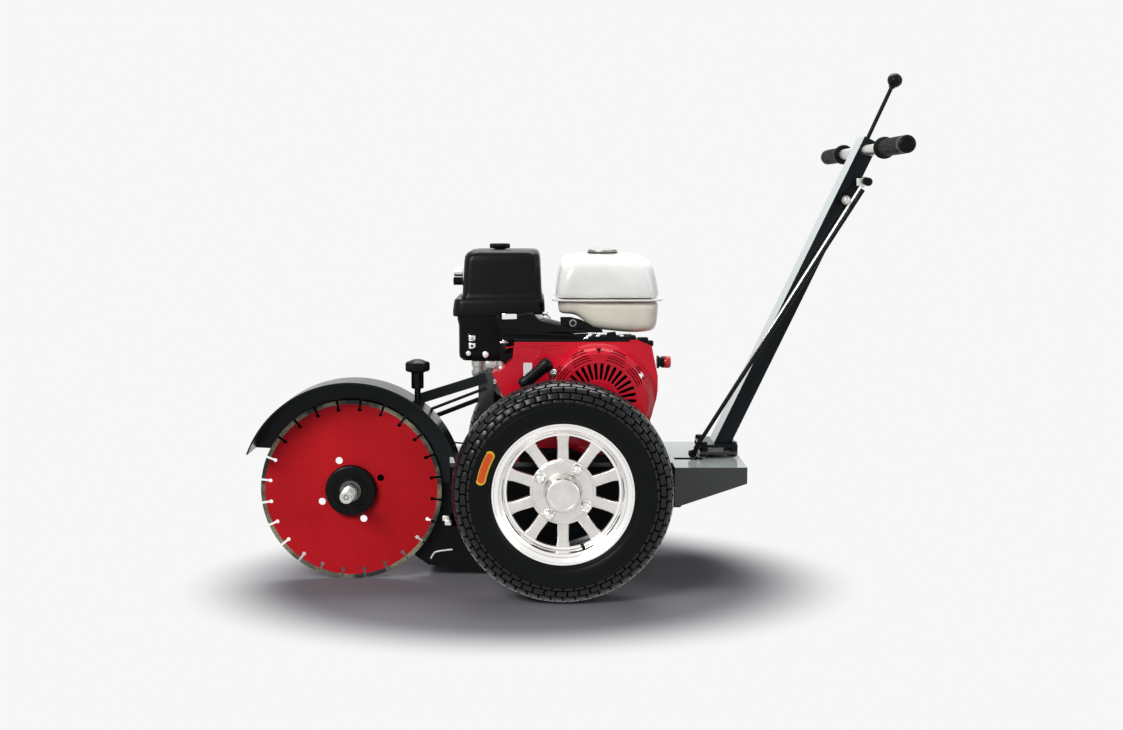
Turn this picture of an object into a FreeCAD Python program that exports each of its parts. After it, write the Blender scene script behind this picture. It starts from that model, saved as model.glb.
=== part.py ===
"""Walk-behind edge cutter: two-wheeled chassis, petrol engine, belt-driven cutting disc.

Frame: X runs from the disc (front, -X) to the handle (rear, +X), Y across the machine with the
open side of the guard at -Y (the machine's left), Z up, ground at z = 0.
"""
import FreeCAD, Part
import math
import os
import re
import Sketcher

SIZES = {
    "axle_x": -38,
    "tyre_radius": 207,
    "tyre_width": 110,
    "tyre_bead_radius": 121,
    "tyre_wall": 13,
    "track_half": 287,
    "axle_radius": 12.5,
    "running_fit": 0.05,
    "rim_flange_radius": 133,
    "rim_width": 88,
    "rim_wall": 5,
    "web_offset": 3,
    "web_thick": 10,
    "window_inner": 68,
    "window_outer": 106,
    "spoke_width": 22,
    "spoke_count": 10,
    "hub_radius": 33.5,
    "hub_flange_radius": 62,
    "hub_flange_thick": 8,
    "hub_nose": 50,
    "lug_circle": 50,
    "lug_hole_radius": 6,
    "lug_flats": 19,
    "lug_height": 15,
    "disc_x": -415,
    "disc_radius": 178,
    "disc_y": -120,
    "disc_thick": 3.2,
    "segment_count": 24,
    "slot_width": 4.2,
    "slot_depth": 17,
    "slot_eye_radius": 3.8,
    "pin_circle": 62.5,
    "pin_radius": 7,
    "flange_radius": 50,
    "flange_thick": 14,
    "inner_flange_thick": 10,
    "nut_flats": 36,
    "nut_thick": 20,
    "spindle_radius": 12.7,
    "spindle_tail": 66,
    "housing_radius": 38,
    "housing_wall": 8,
    "housing_front_gap": 4,
    "bearing_width": 15,
    "deck_top": 228,
    "deck_thick": 8,
    "deck_front": -246,
    "deck_rear": 360,
    "deck_half": 162,
    "box_front": 219,
    "box_rear_drop": 32,
    "box_front_drop": 74,
    "box_wall": 5,
    "chassis_half": 104,
    "side_thick": 8,
    "nose_x": -156,
    "nose_bottom": 14,
    "nose_tip_x": -294,
    "nose_tip_z": 43,
    "nose_flat_x": -266,
    "nose_flat_z": 23,
    "arm_top": 214,
    "arm_bottom": 138,
    "port_x": -206,
    "port_z": 116,
    "port_radius": 17,
    "port_drop": 44,
    "belly_thick": 6,
    "tail_drop": 92,
    "foot_x": 316,
    "foot_boss_radius": 22,
    "foot_boss_height": 8,
    "foot_length": 76,
    "column_offset": 9,
    "foot_width": 110,
    "foot_thick": 6,
    "rubber_radius": 9,
    "rubber_height": 8,
    "bolt_radius": 4,
    "bolt_flats": 13,
    "bolt_head": 5,
    "bolt_inset": 8,
    "column_lean": 25.5,
    "column_depth": 31.6,
    "column_width": 76,
    "column_wall": 2.5,
    "column_length": 674,
    "bar_radius": 11,
    "bar_drop": 24,
    "bar_reach": 380,
    "grip_radius": 16,
    "grip_length": 190,
    "grip_flange_radius": 22,
    "grip_flange_thick": 9,
    "pivot_drop": 132,
    "pivot_radius": 8,
    "lever_radius": 4,
    "lever_lean": 24.4,
    "lever_length": 250,
    "ball_radius": 15,
    "crank_length": 54,
    "crank_angle": 43.1,
    "crank_plate": 5,
    "rod_radius": 4,
    "rod_y": -60,
    "shaft_x": 278,
    "shaft_z": 210,
    "shaft_radius": 8,
    "shaft_skin": 2,
    "crank_arm": 33,
    "crank_arm_angle": 118,
    "pull_arm": 42,
    "pull_y": 128,
    "idler_x": -60,
    "idler_z": 146,
    "idler_arm_length": 88,
    "idler_arm_angle": 132.2,
    "idler_radius": 25,
    "idler_width": 22,
    "arm_thick": 6,
    "belt_y": 184,
    "belt_width": 13,
    "belt_height": 9,
    "belt_gap": 0.3,
    "pulley_radius": 50,
    "pulley_width": 24,
    "engine_x": 69,
    "engine_z": 364,
    "crank_radius": 12.5,
    "block_rear": 170,
    "block_front": -30,
    "block_half": 92,
    "block_top": 418,
    "head_front": -178,
    "head_bottom": 300,
    "head_top": 426,
    "head_half": 76,
    "shroud_face": -168,
    "shroud_wall": 3,
    "shroud_front": -128,
    "shroud_rear": 184,
    "shroud_top": 478,
    "shroud_bottom": 240,
    "notch_x": -92,
    "notch_z": 440,
    "recoil_radius": 108,
    "recoil_depth": 34,
    "recoil_wall": 5,
    "louver_count": 40,
    "louver_inner": 62,
    "louver_outer": 86,
    "louver_width": 5,
    "flywheel_radius": 88,
    "flywheel_thick": 32,
    "grip_handle_x": -51,
    "grip_handle_z": 417,
    "grip_handle_length": 74,
    "grip_handle_radius": 9,
    "grip_handle_angle": 39,
    "tank_front": -13,
    "tank_rear": 190,
    "tank_half": 138,
    "tank_top": 639,
    "tank_seam": 552,
    "tank_bottom": 486,
    "tank_wall": 3,
    "seam_lip": 7,
    "seam_thick": 4,
    "tank_post_radius": 9,
    "cap_radius": 30,
    "cap_height": 12,
    "filter_front": -197,
    "filter_rear": -40,
    "filter_half": 98,
    "filter_top": 647,
    "filter_band_top": 552,
    "filter_band_bottom": 516,
    "filter_band_lip": 18,
    "filter_foot_rear": -112,
    "filter_foot_bottom": 430,
    "filter_wall": 3,
    "knob_radius": 18,
    "knob_height": 13,
    "carb_rear": -62,
    "carb_top": 492,
    "muffler_length": 150,
    "muffler_depth": 80,
    "muffler_height": 120,
    "control_front": -116,
    "control_rear": 50,
    "control_thick": 14,
    "control_half": 30,
    "throttle_length": 46,
    "throttle_pivot": 8,
    "throttle_hub": 5,
    "throttle_pin": 2,
    "throttle_radius": 2.5,
    "switch_z": 432,
    "switch_radius": 8.5,
    "guard_x": -407,
    "guard_z": 187,
    "guard_radius": 212,
    "guard_thick": 3,
    "guard_near": -196,
    "guard_far": -104,
    "guard_floor_front": 262,
    "guard_floor_rear": 238,
    "guard_tab_x": -262,
    "guard_tab_width": 40,
    "guard_tab_low": 190,
    "knob_x": -279,
    "knob_y": -165,
    "neck_radius": 6,
    "knob_foot": 345,
    "knob_seat": 385,
    "guard_knob_radius": 24,
    "guard_knob_height": 22,
    "guard_stem_radius": 12,
    "guard_stem_height": 34,
    "strut_width": 20,
    "strut_thick": 6,
    "post_x": -150,
    "post_top": 408,
    "post_width": 30,
    "post_thick": 8,
    "strut_low_x": -288,
    "strut_low_z": 354,
    "strut_high_x": -150,
    "strut_high_z": 397,
    "brace_low_x": -272,
    "brace_low_z": 330,
    "brace_high_x": -150,
    "brace_high_z": 377,
    "brace_radius": 3,
    "cover_near": 168,
    "cover_far": 212,
    "cover_wall": 2,
    "cover_gap": 14,
    "cover_front": -178,
}

doc = FreeCAD.newDocument("EdgeCutter")
sheet = doc.addObject("Spreadsheet::Sheet", "sizes")
for row, (alias, value) in enumerate(SIZES.items(), start=1):
    sheet.set("A%d" % row, str(value))
    sheet.setAlias("A%d" % row, alias)
doc.recompute()

NODES = []
TURNS = {
    "x": FreeCAD.Rotation(FreeCAD.Vector(0, 1, 0), 90),
    "y": FreeCAD.Rotation(FreeCAD.Vector(1, 0, 0), -90),
    "z": FreeCAD.Rotation(),
}


def expr(text):
    """Turn the size names in an expression into references to the sheet."""
    return re.sub(r"\b[a-z]+_[a-z_]+\b", lambda word: "sizes." + word.group(0), str(text))


def bind(item, **properties):
    for name, text in properties.items():
        item.setExpression(name, expr(text))
    return item


def place(item, x=0, y=0, z=0, axis="z", tilt=None):
    """Put an item at (x, y, z), its own z along the axis, or tipped from +Z towards +X by tilt."""
    item.Placement = FreeCAD.Placement(FreeCAD.Vector(), TURNS[axis])
    if tilt is not None:
        item.Placement = FreeCAD.Placement(FreeCAD.Vector(), FreeCAD.Rotation(FreeCAD.Vector(0, 1, 0), 10))
        item.setExpression("Placement.Rotation.Angle", expr(tilt))
    for letter, text in (("x", x), ("y", y), ("z", z)):
        item.setExpression("Placement.Base." + letter, expr(text))
    return item


def cylinder(name, radius, height, x=0, y=0, z=0, axis="z", tilt=None):
    item = doc.addObject("Part::Cylinder", name)
    return place(bind(item, Radius=radius, Height=height), x, y, z, axis, tilt)


def cone(name, radius, end_radius, height, x=0, y=0, z=0, axis="z", tilt=None):
    item = doc.addObject("Part::Cone", name)
    return place(bind(item, Radius1=radius, Radius2=end_radius, Height=height), x, y, z, axis, tilt)


def box(name, length, width, height, x=0, y=0, z=0, tilt=None):
    item = doc.addObject("Part::Box", name)
    return place(bind(item, Length=length, Width=width, Height=height), x, y, z, "z", tilt)


def hexagon(name, flats, height, x=0, y=0, z=0, axis="z", tilt=None):
    item = doc.addObject("Part::Prism", name)
    item.Polygon = 6
    return place(bind(item, Circumradius="(%s) / sqrt(3)" % flats, Height=height), x, y, z, axis, tilt)


def sphere(name, radius, x=0, y=0, z=0):
    item = doc.addObject("Part::Sphere", name)
    return place(bind(item, Radius=radius), x, y, z)


def fuse(name, *items):
    item = doc.addObject("Part::MultiFuse", name)
    item.Shapes = list(items)
    item.Refine = True
    return item


def cut(name, base, *tools):
    item = doc.addObject("Part::Cut", name)
    item.Base = base
    item.Tool = tools[0] if len(tools) == 1 else fuse(name + "_tools", *tools)
    return item


def common(name, base, tool):
    item = doc.addObject("Part::Common", name)
    item.Base = base
    item.Tool = tool
    return item


def group(name, items):
    item = doc.addObject("Part::Compound", name)
    item.Links = items
    return item


def node(label, item):
    """Make an item a sub-part of the machine, written to a file of its own."""
    item.Label = label
    NODES.append(item)
    return item


def body(name, x=0, y=0, z=0, tilt=None):
    return place(doc.addObject("PartDesign::Body", name), x, y, z, "z", tilt)


def sketch_on(owner, plane, name):
    sketch = owner.newObject("Sketcher::SketchObject", name)
    origin_plane = [item for item in owner.Origin.OriginFeatures if item.Role == plane][0]
    sketch.AttachmentSupport = [(origin_plane, "")]
    sketch.MapMode = "FlatFace"
    return sketch


def polygon(owner, plane, name, points):
    """A closed outline whose corners are all held to the origin by named sizes."""
    sketch = sketch_on(owner, plane, name)
    count = len(points)
    turns = [2 * math.pi * index / count for index in range(count)]
    spots = [FreeCAD.Vector(10 * math.cos(turn), 10 * math.sin(turn), 0) for turn in turns]
    for index in range(count):
        sketch.addGeometry(Part.LineSegment(spots[index], spots[(index + 1) % count]), False)
    for index in range(count):
        sketch.addConstraint(Sketcher.Constraint("Coincident", index, 2, (index + 1) % count, 1))
    for index, point in enumerate(points):
        for kind, text in zip(("DistanceX", "DistanceY"), point):
            number = sketch.addConstraint(Sketcher.Constraint(kind, -1, 1, index, 1, 1.0))
            sketch.setExpression("Constraints[%d]" % number, expr(text))
    return sketch


def circles(owner, plane, name, rings):
    """Circles held to the origin: each is its centre's two places and its radius."""
    sketch = sketch_on(owner, plane, name)
    for index, ring in enumerate(rings):
        sketch.addGeometry(Part.Circle(FreeCAD.Vector(5 * index, 5, 0), FreeCAD.Vector(0, 0, 1), 2), False)
        held = (
            Sketcher.Constraint("DistanceX", -1, 1, index, 3, 1.0),
            Sketcher.Constraint("DistanceY", -1, 1, index, 3, 1.0),
            Sketcher.Constraint("Radius", index, 2.0),
        )
        for constraint, text in zip(held, ring):
            number = sketch.addConstraint(constraint)
            sketch.setExpression("Constraints[%d]" % number, expr(text))
    return sketch


def pad(owner, sketch, length, towards_back=True):
    feature = owner.newObject("PartDesign::Pad", sketch.Name + "_pad")
    feature.Profile = sketch
    feature.Reversed = towards_back
    return bind(feature, Length=length)


def pocket(owner, sketch):
    """Cut the sketch right through the body, both ways from its plane."""
    feature = owner.newObject("PartDesign::Pocket", sketch.Name + "_pocket")
    feature.Profile = sketch
    feature.Type = 1
    feature.Midplane = True
    return feature


def revolve(owner, sketch):
    feature = owner.newObject("PartDesign::Revolution", sketch.Name + "_turned")
    feature.Profile = sketch
    feature.ReferenceAxis = (sketch, ["V_Axis"])
    feature.Angle = 360
    return feature


def polar(owner, feature, sketch, count):
    pattern = owner.newObject("PartDesign::PolarPattern", feature.Name + "_ring")
    pattern.Originals = [feature]
    pattern.Axis = (sketch, ["N_Axis"])
    pattern.Angle = 360
    bind(pattern, Occurrences=count)
    owner.Tip = pattern
    return pattern


def fillet(owner, base, radius, wanted):
    """Round the edges of the base feature that the wanted test picks."""
    doc.recompute()
    names = ["Edge%d" % (i + 1) for i, edge in enumerate(base.Shape.Edges) if wanted(edge)]
    feature = owner.newObject("PartDesign::Fillet", base.Name + "_round")
    feature.Base = (base, names)
    return bind(feature, Radius=radius)


def plate(name, y, thick, outline, holes=()):
    """A flat plate standing in an X-Z plane, from y towards +Y, with round holes."""
    owner = body(name, x="axle_x", y=y)
    pad(owner, polygon(owner, "XZ_Plane", name + "_outline", outline), thick)
    if holes:
        pocket(owner, circles(owner, "XZ_Plane", name + "_holes", holes))
    return owner


def rounded_box(name, ends, corner, top=None):
    """A block from (x, y, z) to (x, y, z) with its upright edges rounded, and its top edges too."""
    (x_low, y_low, z_low), (x_high, y_high, z_high) = ends
    owner = body(name, x="axle_x", z=z_low)
    outline = [(x_low, y_low), (x_high, y_low), (x_high, y_high), (x_low, y_high)]
    block = pad(owner, polygon(owner, "XY_Plane", name + "_outline", outline),
                "(%s) - (%s)" % (z_high, z_low), False)
    rounded = fillet(owner, block, corner, is_upright)
    if top:
        doc.recompute()
        height = rounded.Shape.BoundBox.ZMax
        fillet(owner, rounded, top, lambda edge: edge.BoundBox.ZMin > height - 0.01)
    return owner


def is_upright(edge):
    box_of_edge = edge.BoundBox
    return box_of_edge.ZLength > 1 and box_of_edge.XLength < 0.01 and box_of_edge.YLength < 0.01


def make_wheel(side, sign):
    """Tyre, ten-spoke rim, hub with its cap, and four lug nuts, on one end of the axle."""
    middle = "%s * track_half" % sign
    tyre = body("tyre_" + side, "axle_x", middle, "tyre_radius")
    half = "tyre_width / 2"
    profile = [
        ("tyre_bead_radius", "0 - rim_width / 2 + 6"),
        ("tyre_bead_radius + 16", "0 - rim_width / 2 + 9"),
        ("tyre_radius - 48", "0 - %s" % half),
        ("tyre_radius - 26", "0 - %s" % half),
        ("tyre_radius - 6", "10 - %s" % half),
        ("tyre_radius", "22 - %s" % half),
        ("tyre_radius", "%s - 22" % half),
        ("tyre_radius - 6", "%s - 10" % half),
        ("tyre_radius - 26", half),
        ("tyre_radius - 48", half),
        ("tyre_bead_radius + 16", "rim_width / 2 - 9"),
        ("tyre_bead_radius", "rim_width / 2 - 6"),
        ("tyre_bead_radius", "rim_width / 2 - 6 - tyre_wall"),
        ("tyre_radius - 40", "%s - tyre_wall" % half),
        ("tyre_radius - tyre_wall", "%s - 30" % half),
        ("tyre_radius - tyre_wall", "30 - %s" % half),
        ("tyre_radius - 40", "tyre_wall - %s" % half),
        ("tyre_bead_radius", "tyre_wall + 6 - rim_width / 2"),
    ]
    revolve(tyre, polygon(tyre, "XY_Plane", "tyre_%s_profile" % side, profile))
    node("tyre_" + side, tyre)

    barrel = body("rim_" + side, "axle_x", middle, "tyre_radius")
    inner = "tyre_bead_radius - rim_wall"
    edge = "rim_width / 2"
    web_low = "%s * web_offset - web_thick / 2" % sign
    web_high = "%s * web_offset + web_thick / 2" % sign
    profile = [
        ("hub_radius + running_fit", web_low),
        (inner, web_low),
        (inner, "0 - %s" % edge),
        ("rim_flange_radius", "0 - %s" % edge),
        ("rim_flange_radius", "5 - %s" % edge),
        ("tyre_bead_radius", "6 - %s" % edge),
        ("tyre_bead_radius", "%s - 6" % edge),
        ("rim_flange_radius", "%s - 5" % edge),
        ("rim_flange_radius", edge),
        (inner, edge),
        (inner, web_high),
        ("hub_radius + running_fit", web_high),
    ]
    revolve(barrel, polygon(barrel, "XY_Plane", "rim_%s_profile" % side, profile))
    lean = "180 / spoke_count"
    window = [
        ("window_inner * sin(%s) - spoke_width / 2 * cos(%s) - 4" % (lean, lean), "window_inner"),
        ("window_outer * sin(%s) - spoke_width / 2 * cos(%s)" % (lean, lean), "window_outer"),
        ("0 - window_outer * sin(%s) + spoke_width / 2 * cos(%s)" % (lean, lean), "window_outer"),
        ("0 - window_inner * sin(%s) + spoke_width / 2 * cos(%s) + 4" % (lean, lean), "window_inner"),
    ]
    opening = polygon(barrel, "XZ_Plane", "rim_%s_window" % side, window)
    polar(barrel, pocket(barrel, opening), opening, "spoke_count")
    spots = [(lug_place(turn, "cos"), lug_place(turn, "sin")) for turn in range(4)]
    holes = circles(barrel, "XZ_Plane", "rim_%s_studs" % side,
                    [spot + ("lug_hole_radius",) for spot in spots])
    barrel.Tip = pocket(barrel, holes)
    node("rim_" + side, barrel)

    web_out = "%s * (track_half + web_offset + web_thick / 2)" % sign
    web_in = "%s * (track_half + web_offset - web_thick / 2)" % sign
    turned = body("hub_" + side, "axle_x", 0, "tyre_radius")
    bore = "axle_radius + running_fit"
    flange_in = "%s - %s * hub_flange_thick" % (web_in, sign)
    nose_out = "%s + %s * hub_nose" % (web_out, sign)
    profile = [
        (bore, "%s - %s * 30" % (flange_in, sign)),
        ("hub_radius - 6", "%s - %s * 30" % (flange_in, sign)),
        ("hub_radius - 6", flange_in),
        ("hub_flange_radius", flange_in),
        ("hub_flange_radius", web_in),
        ("hub_radius", web_in),
        ("hub_radius", "%s - %s * 8" % (nose_out, sign)),
        ("hub_radius - 4", "%s" % nose_out),
        ("0", nose_out),
        ("0", "%s - %s * 12" % (nose_out, sign)),
        (bore, "%s - %s * 12" % (nose_out, sign)),
    ]
    revolve(turned, polygon(turned, "XY_Plane", "hub_%s_profile" % side, profile))
    node("hub_" + side, turned)

    nuts = []
    for turn in range(4):
        x_place = "axle_x + " + lug_place(turn, "cos")
        z_place = "tyre_radius + " + lug_place(turn, "sin")
        low = web_out if sign > 0 else "%s - lug_height" % web_out
        stud_low = web_in if sign > 0 else web_out
        name = "lug_%s_%d" % (side, turn)
        nut = hexagon(name, "lug_flats", "lug_height", x_place, low, z_place, "y")
        stud = cylinder(name + "_stud", "lug_hole_radius - 0.5", "web_thick", x_place, stud_low, z_place, "y")
        nuts.append(fuse(name + "_set", nut, stud))
    node("lug_nuts_" + side, group("lug_nuts_" + side, nuts))


def lug_place(turn, function):
    return "lug_circle * %s(58 + 90 * %d)" % (function, turn)


def make_chassis():
    """Deck, two deep side plates, sloping belly, rear box and axle."""
    deck = body("deck_slab", "axle_x", 0, "deck_top - deck_thick")
    outline = [
        ("deck_front", "0 - chassis_half"), ("box_front", "0 - chassis_half"), ("box_front", "0 - deck_half"),
        ("deck_rear", "0 - deck_half"), ("deck_rear", "deck_half"), ("box_front", "deck_half"),
        ("box_front", "chassis_half"), ("deck_front", "chassis_half"),
    ]
    pad(deck, polygon(deck, "XY_Plane", "deck_outline", outline), "deck_thick", False)
    slot = [
        ("shaft_x - 52", "rod_y - 8"), ("shaft_x + 6", "rod_y - 8"), ("shaft_x + 6", "rod_y + 16"),
        ("shaft_x - 52", "rod_y + 16"),
    ]
    pocket(deck, polygon(deck, "XY_Plane", "deck_slot", slot))
    post = box("strut_post", "post_width", "post_thick", "post_top - deck_top",
               "axle_x + post_x - post_width / 2",
               "guard_far + strut_thick", "deck_top")
    node("deck_plate", fuse("deck_weldment", deck, post))

    under = "deck_top - deck_thick"
    outline = [
        ("box_front", under), ("box_front", "deck_top - tail_drop"), ("nose_x", "nose_bottom"),
        ("nose_flat_x", "nose_flat_z"), ("nose_tip_x", "nose_tip_z"), ("nose_tip_x + 46", "arm_bottom - 22"),
        ("nose_tip_x + 20", "arm_bottom"), ("disc_x + housing_radius / 2", "arm_bottom"),
        ("disc_x + housing_radius / 2", "arm_top"), ("deck_front - 20", "arm_top"), ("deck_front", under),
    ]
    axle_hole = ("0", "tyre_radius", "axle_radius")
    shaft_hole = ("idler_x", "idler_z", "shaft_radius + running_fit")
    near = plate("side_slab_left", "0 - chassis_half", "side_thick", outline,
                 [axle_hole, ("port_x", "port_z", "port_radius")])
    far = plate("side_slab_right", "chassis_half - side_thick", "side_thick", outline,
                [axle_hole, shaft_hole, ("port_x", "port_z - port_drop", "port_radius")])
    for side, item in (("left", near), ("right", far)):
        seat = cylinder("housing_seat_" + side, "housing_radius", "deck_half * 2", "axle_x + disc_x",
                        "0 - deck_half", "disc_radius", "y")
        node("side_plate_" + side, cut("side_plate_%s_cut" % side, item, seat))

    belly = body("belly_plate", "axle_x", "side_thick - chassis_half")
    outline = [
        ("box_front", "deck_top - tail_drop + belly_thick"), ("box_front", "deck_top - tail_drop"),
        ("nose_x", "nose_bottom"), ("nose_flat_x", "nose_flat_z"),
        ("nose_flat_x", "nose_flat_z + belly_thick"),
        ("nose_x", "nose_bottom + belly_thick"),
    ]
    pad(belly, polygon(belly, "XZ_Plane", "belly_outline", outline), "2 * (chassis_half - side_thick)")
    node("belly_plate", belly)

    under = "deck_top - deck_thick"
    outline = [
        ("box_front", under), ("deck_rear", under), ("deck_rear", "deck_top - box_rear_drop"),
        ("box_front + 10", "deck_top - box_front_drop - 2"), ("box_front", "deck_top - box_front_drop - 2"),
    ]
    rear = plate("rear_box_block", "0 - deck_half", "2 * deck_half", outline)
    hollow = box("rear_box_hollow", "deck_rear - box_front - 2 * box_wall", "2 * (deck_half - box_wall)",
                 "deck_top", "axle_x + box_front + box_wall", "box_wall - deck_half", "0 - deck_thick")
    passage = box("pull_window", "box_wall * 2", "18", "58", "axle_x + box_front - box_wall / 2",
                  "pull_y - 9", "shaft_z - 60")
    shaft_way = cylinder("cross_shaft_way", "shaft_radius + running_fit", "2 * deck_half + 2",
                         "axle_x + shaft_x",
                         "shaft_skin - 0.3 - deck_half", "shaft_z", "y")
    node("rear_box", cut("rear_box_cut", rear, hollow, passage, shaft_way))

    axle = cylinder("axle", "axle_radius", "2 * (track_half + web_offset + web_thick / 2 + hub_nose - 15)",
                    "axle_x", "0 - (track_half + web_offset + web_thick / 2 + hub_nose - 15)", "tyre_radius",
                    "y")
    node("axle", axle)


def make_spindle():
    """Housing, bearings, spindle, flanges, segmented disc, nut and driven pulley."""
    x_disc = "axle_x + disc_x"
    front = "disc_y + disc_thick / 2 + inner_flange_thick + housing_front_gap"
    back = "belt_y - pulley_width / 2 - housing_front_gap"
    tube = cylinder("housing_tube", "housing_radius", "(%s) - (%s)" % (back, front), x_disc, front,
                    "disc_radius", "y")
    bore = cylinder("housing_bore", "housing_radius - housing_wall", "3 * deck_half", x_disc,
                    "0 - 1.5 * deck_half",
                    "disc_radius", "y")
    node("spindle_housing", cut("spindle_housing_cut", tube, bore))
    races = []
    for index, y_place in enumerate((front, "%s - bearing_width" % back)):
        race = cylinder("race_%d" % index, "housing_radius - housing_wall", "bearing_width", x_disc, y_place,
                        "disc_radius", "y")
        hole = cylinder("race_hole_%d" % index, "spindle_radius + running_fit", "bearing_width", x_disc,
                        y_place,
                        "disc_radius", "y")
        races.append(cut("bearing_%d" % index, race, hole))
    node("spindle_bearings", group("spindle_bearings", races))

    near_end = "disc_y - disc_thick / 2 - flange_thick - spindle_tail"
    shaft = cylinder("spindle_shaft", "spindle_radius", "belt_y + pulley_width / 2 - (%s)" % near_end, x_disc,
                     near_end, "disc_radius", "y")
    node("spindle", shaft)
    inner = "disc_y + disc_thick / 2"
    outer = "disc_y - disc_thick / 2 - flange_thick"
    node("inner_flange", ring("inner_flange", "flange_radius", "inner_flange_thick", inner))
    edge = cone("outer_flange_edge", "flange_radius - 5", "flange_radius", "5", x_disc, outer, "disc_radius",
                "y")
    face = cylinder("outer_flange_face", "flange_radius", "flange_thick - 5", x_disc, "%s + 5" % outer,
                    "disc_radius", "y")
    hub = fuse("outer_flange_hub", edge, face)
    hole = cylinder("outer_flange_hole", "spindle_radius", "2 * flange_thick", x_disc, "%s - 1" % outer,
                    "disc_radius", "y")
    node("outer_flange", cut("outer_flange_cut", hub, hole))
    nut = hexagon("spindle_nut_hex", "nut_flats", "nut_thick", x_disc, "%s - nut_thick" % outer,
                  "disc_radius", "y")
    hole = cylinder("spindle_nut_hole", "spindle_radius", "2 * nut_thick", x_disc,
                    "%s - 1.5 * nut_thick" % outer,
                    "disc_radius", "y")
    node("spindle_nut", cut("spindle_nut_cut", nut, hole))
    node("driven_pulley", pulley("driven_pulley", "disc_x", "disc_radius", "spindle_radius"))

    disc = body("cutting_disc", x_disc, "disc_y - disc_thick / 2", "disc_radius")
    pad(disc, circles(disc, "XZ_Plane", "disc_edge",
                      [("0", "0", "disc_radius"), ("0", "0", "spindle_radius")]),
        "disc_thick")
    pins = [("pin_circle * cos(22 + 90 * %d)" % turn, "pin_circle * sin(22 + 90 * %d)" % turn, "pin_radius")
            for turn in range(4)]
    pocket(disc, circles(disc, "XZ_Plane", "disc_pins", pins))
    eye = pocket(disc, circles(disc, "XZ_Plane", "slot_eye",
                               [("0", "disc_radius - slot_depth", "slot_eye_radius")]))
    eyes = polar(disc, eye, eye.Profile[0], "segment_count")
    disc.Tip = eyes
    gash = [("0 - slot_width / 2", "disc_radius - slot_depth"),
            ("slot_width / 2", "disc_radius - slot_depth"),
            ("slot_width / 2", "disc_radius + 1"), ("0 - slot_width / 2", "disc_radius + 1")]
    gash_sketch = polygon(disc, "XZ_Plane", "slot_gash", gash)
    polar(disc, pocket(disc, gash_sketch), gash_sketch, "segment_count")
    node("cutting_disc", disc)


def ring(name, radius, thick, y, hole="spindle_radius"):
    """A plain round flange on the disc's spindle."""
    outer = cylinder(name + "_outer", radius, thick, "axle_x + disc_x", y, "disc_radius", "y")
    inner = cylinder(name + "_inner", hole, "%s + 2" % thick, "axle_x + disc_x", "%s - 1" % y, "disc_radius",
                     "y")
    return cut(name + "_cut", outer, inner)


def pulley(name, x, z, hole):
    """A single-groove pulley about an axis along Y, centred on the belt's plane."""
    owner = body(name, "axle_x + %s" % x, "belt_y", z)
    half = "pulley_width / 2"
    groove = "pulley_radius - belt_height - belt_gap"
    profile = [
        (hole, "0 - %s" % half), ("pulley_radius + 3", "0 - %s" % half),
        ("pulley_radius + 3", "0 - belt_width / 2 - belt_gap"), (groove, "0 - belt_width / 2 - belt_gap"),
        (groove, "belt_width / 2 + belt_gap"), ("pulley_radius + 3", "belt_width / 2 + belt_gap"),
        ("pulley_radius + 3", half), (hole, half),
    ]
    revolve(owner, polygon(owner, "XY_Plane", name + "_profile", profile))
    return owner


FOOT_X = "(axle_x + foot_x + column_offset)"
FOOT_Z = "(deck_top + foot_boss_height + 2 * foot_thick + rubber_height)"


def on_column(along, across="0"):
    """The place at a distance up the column and a distance behind its middle line."""
    return (
        "%s + (%s) * sin(column_lean) + (%s) * cos(column_lean)" % (FOOT_X, along, across),
        "%s + (%s) * cos(column_lean) - (%s) * sin(column_lean)" % (FOOT_Z, along, across),
    )


PIVOT = on_column("column_length - pivot_drop")
CRANK_PIN = (
    "%s + crank_length * cos(crank_angle)" % PIVOT[0],
    "%s + crank_length * sin(crank_angle)" % PIVOT[1],
)
ARM_PIN = (
    "axle_x + shaft_x + crank_arm * cos(crank_arm_angle)",
    "shaft_z + crank_arm * sin(crank_arm_angle)",
)
PULL_TOP = ("axle_x + shaft_x", "shaft_z - pull_arm")
PULL_END = ("axle_x + idler_x", "idler_z - pull_arm")
IDLER = (
    "axle_x + idler_x + idler_arm_length * cos(idler_arm_angle)",
    "idler_z + idler_arm_length * sin(idler_arm_angle)",
)


def bar_between(name, start, end, y, width, thick):
    """A flat bar from one place in an X-Z plane to another, from y towards +Y."""
    run = "((%s) - (%s))" % (end[0], start[0])
    rise = "((%s) - (%s))" % (end[1], start[1])
    lean = "atan(%s / %s)" % (run, rise)
    length = "sqrt(%s ^ 2 + %s ^ 2)" % (run, rise)
    x_place = "%s - %s / 2 * cos(%s)" % (start[0], width, lean)
    z_place = "%s + %s / 2 * sin(%s)" % (start[1], width, lean)
    return box(name, width, thick, length, x_place, y, z_place, lean)


def rod_between(name, start, end, y, radius):
    """A round rod from one place in an X-Z plane to another; the end is the higher of the two."""
    run = "((%s) - (%s))" % (end[0], start[0])
    rise = "((%s) - (%s))" % (end[1], start[1])
    length = "sqrt(%s ^ 2 + %s ^ 2)" % (run, rise)
    return cylinder(name, radius, length, start[0], y, start[1], "z", "atan(%s / %s)" % (run, rise))


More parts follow.
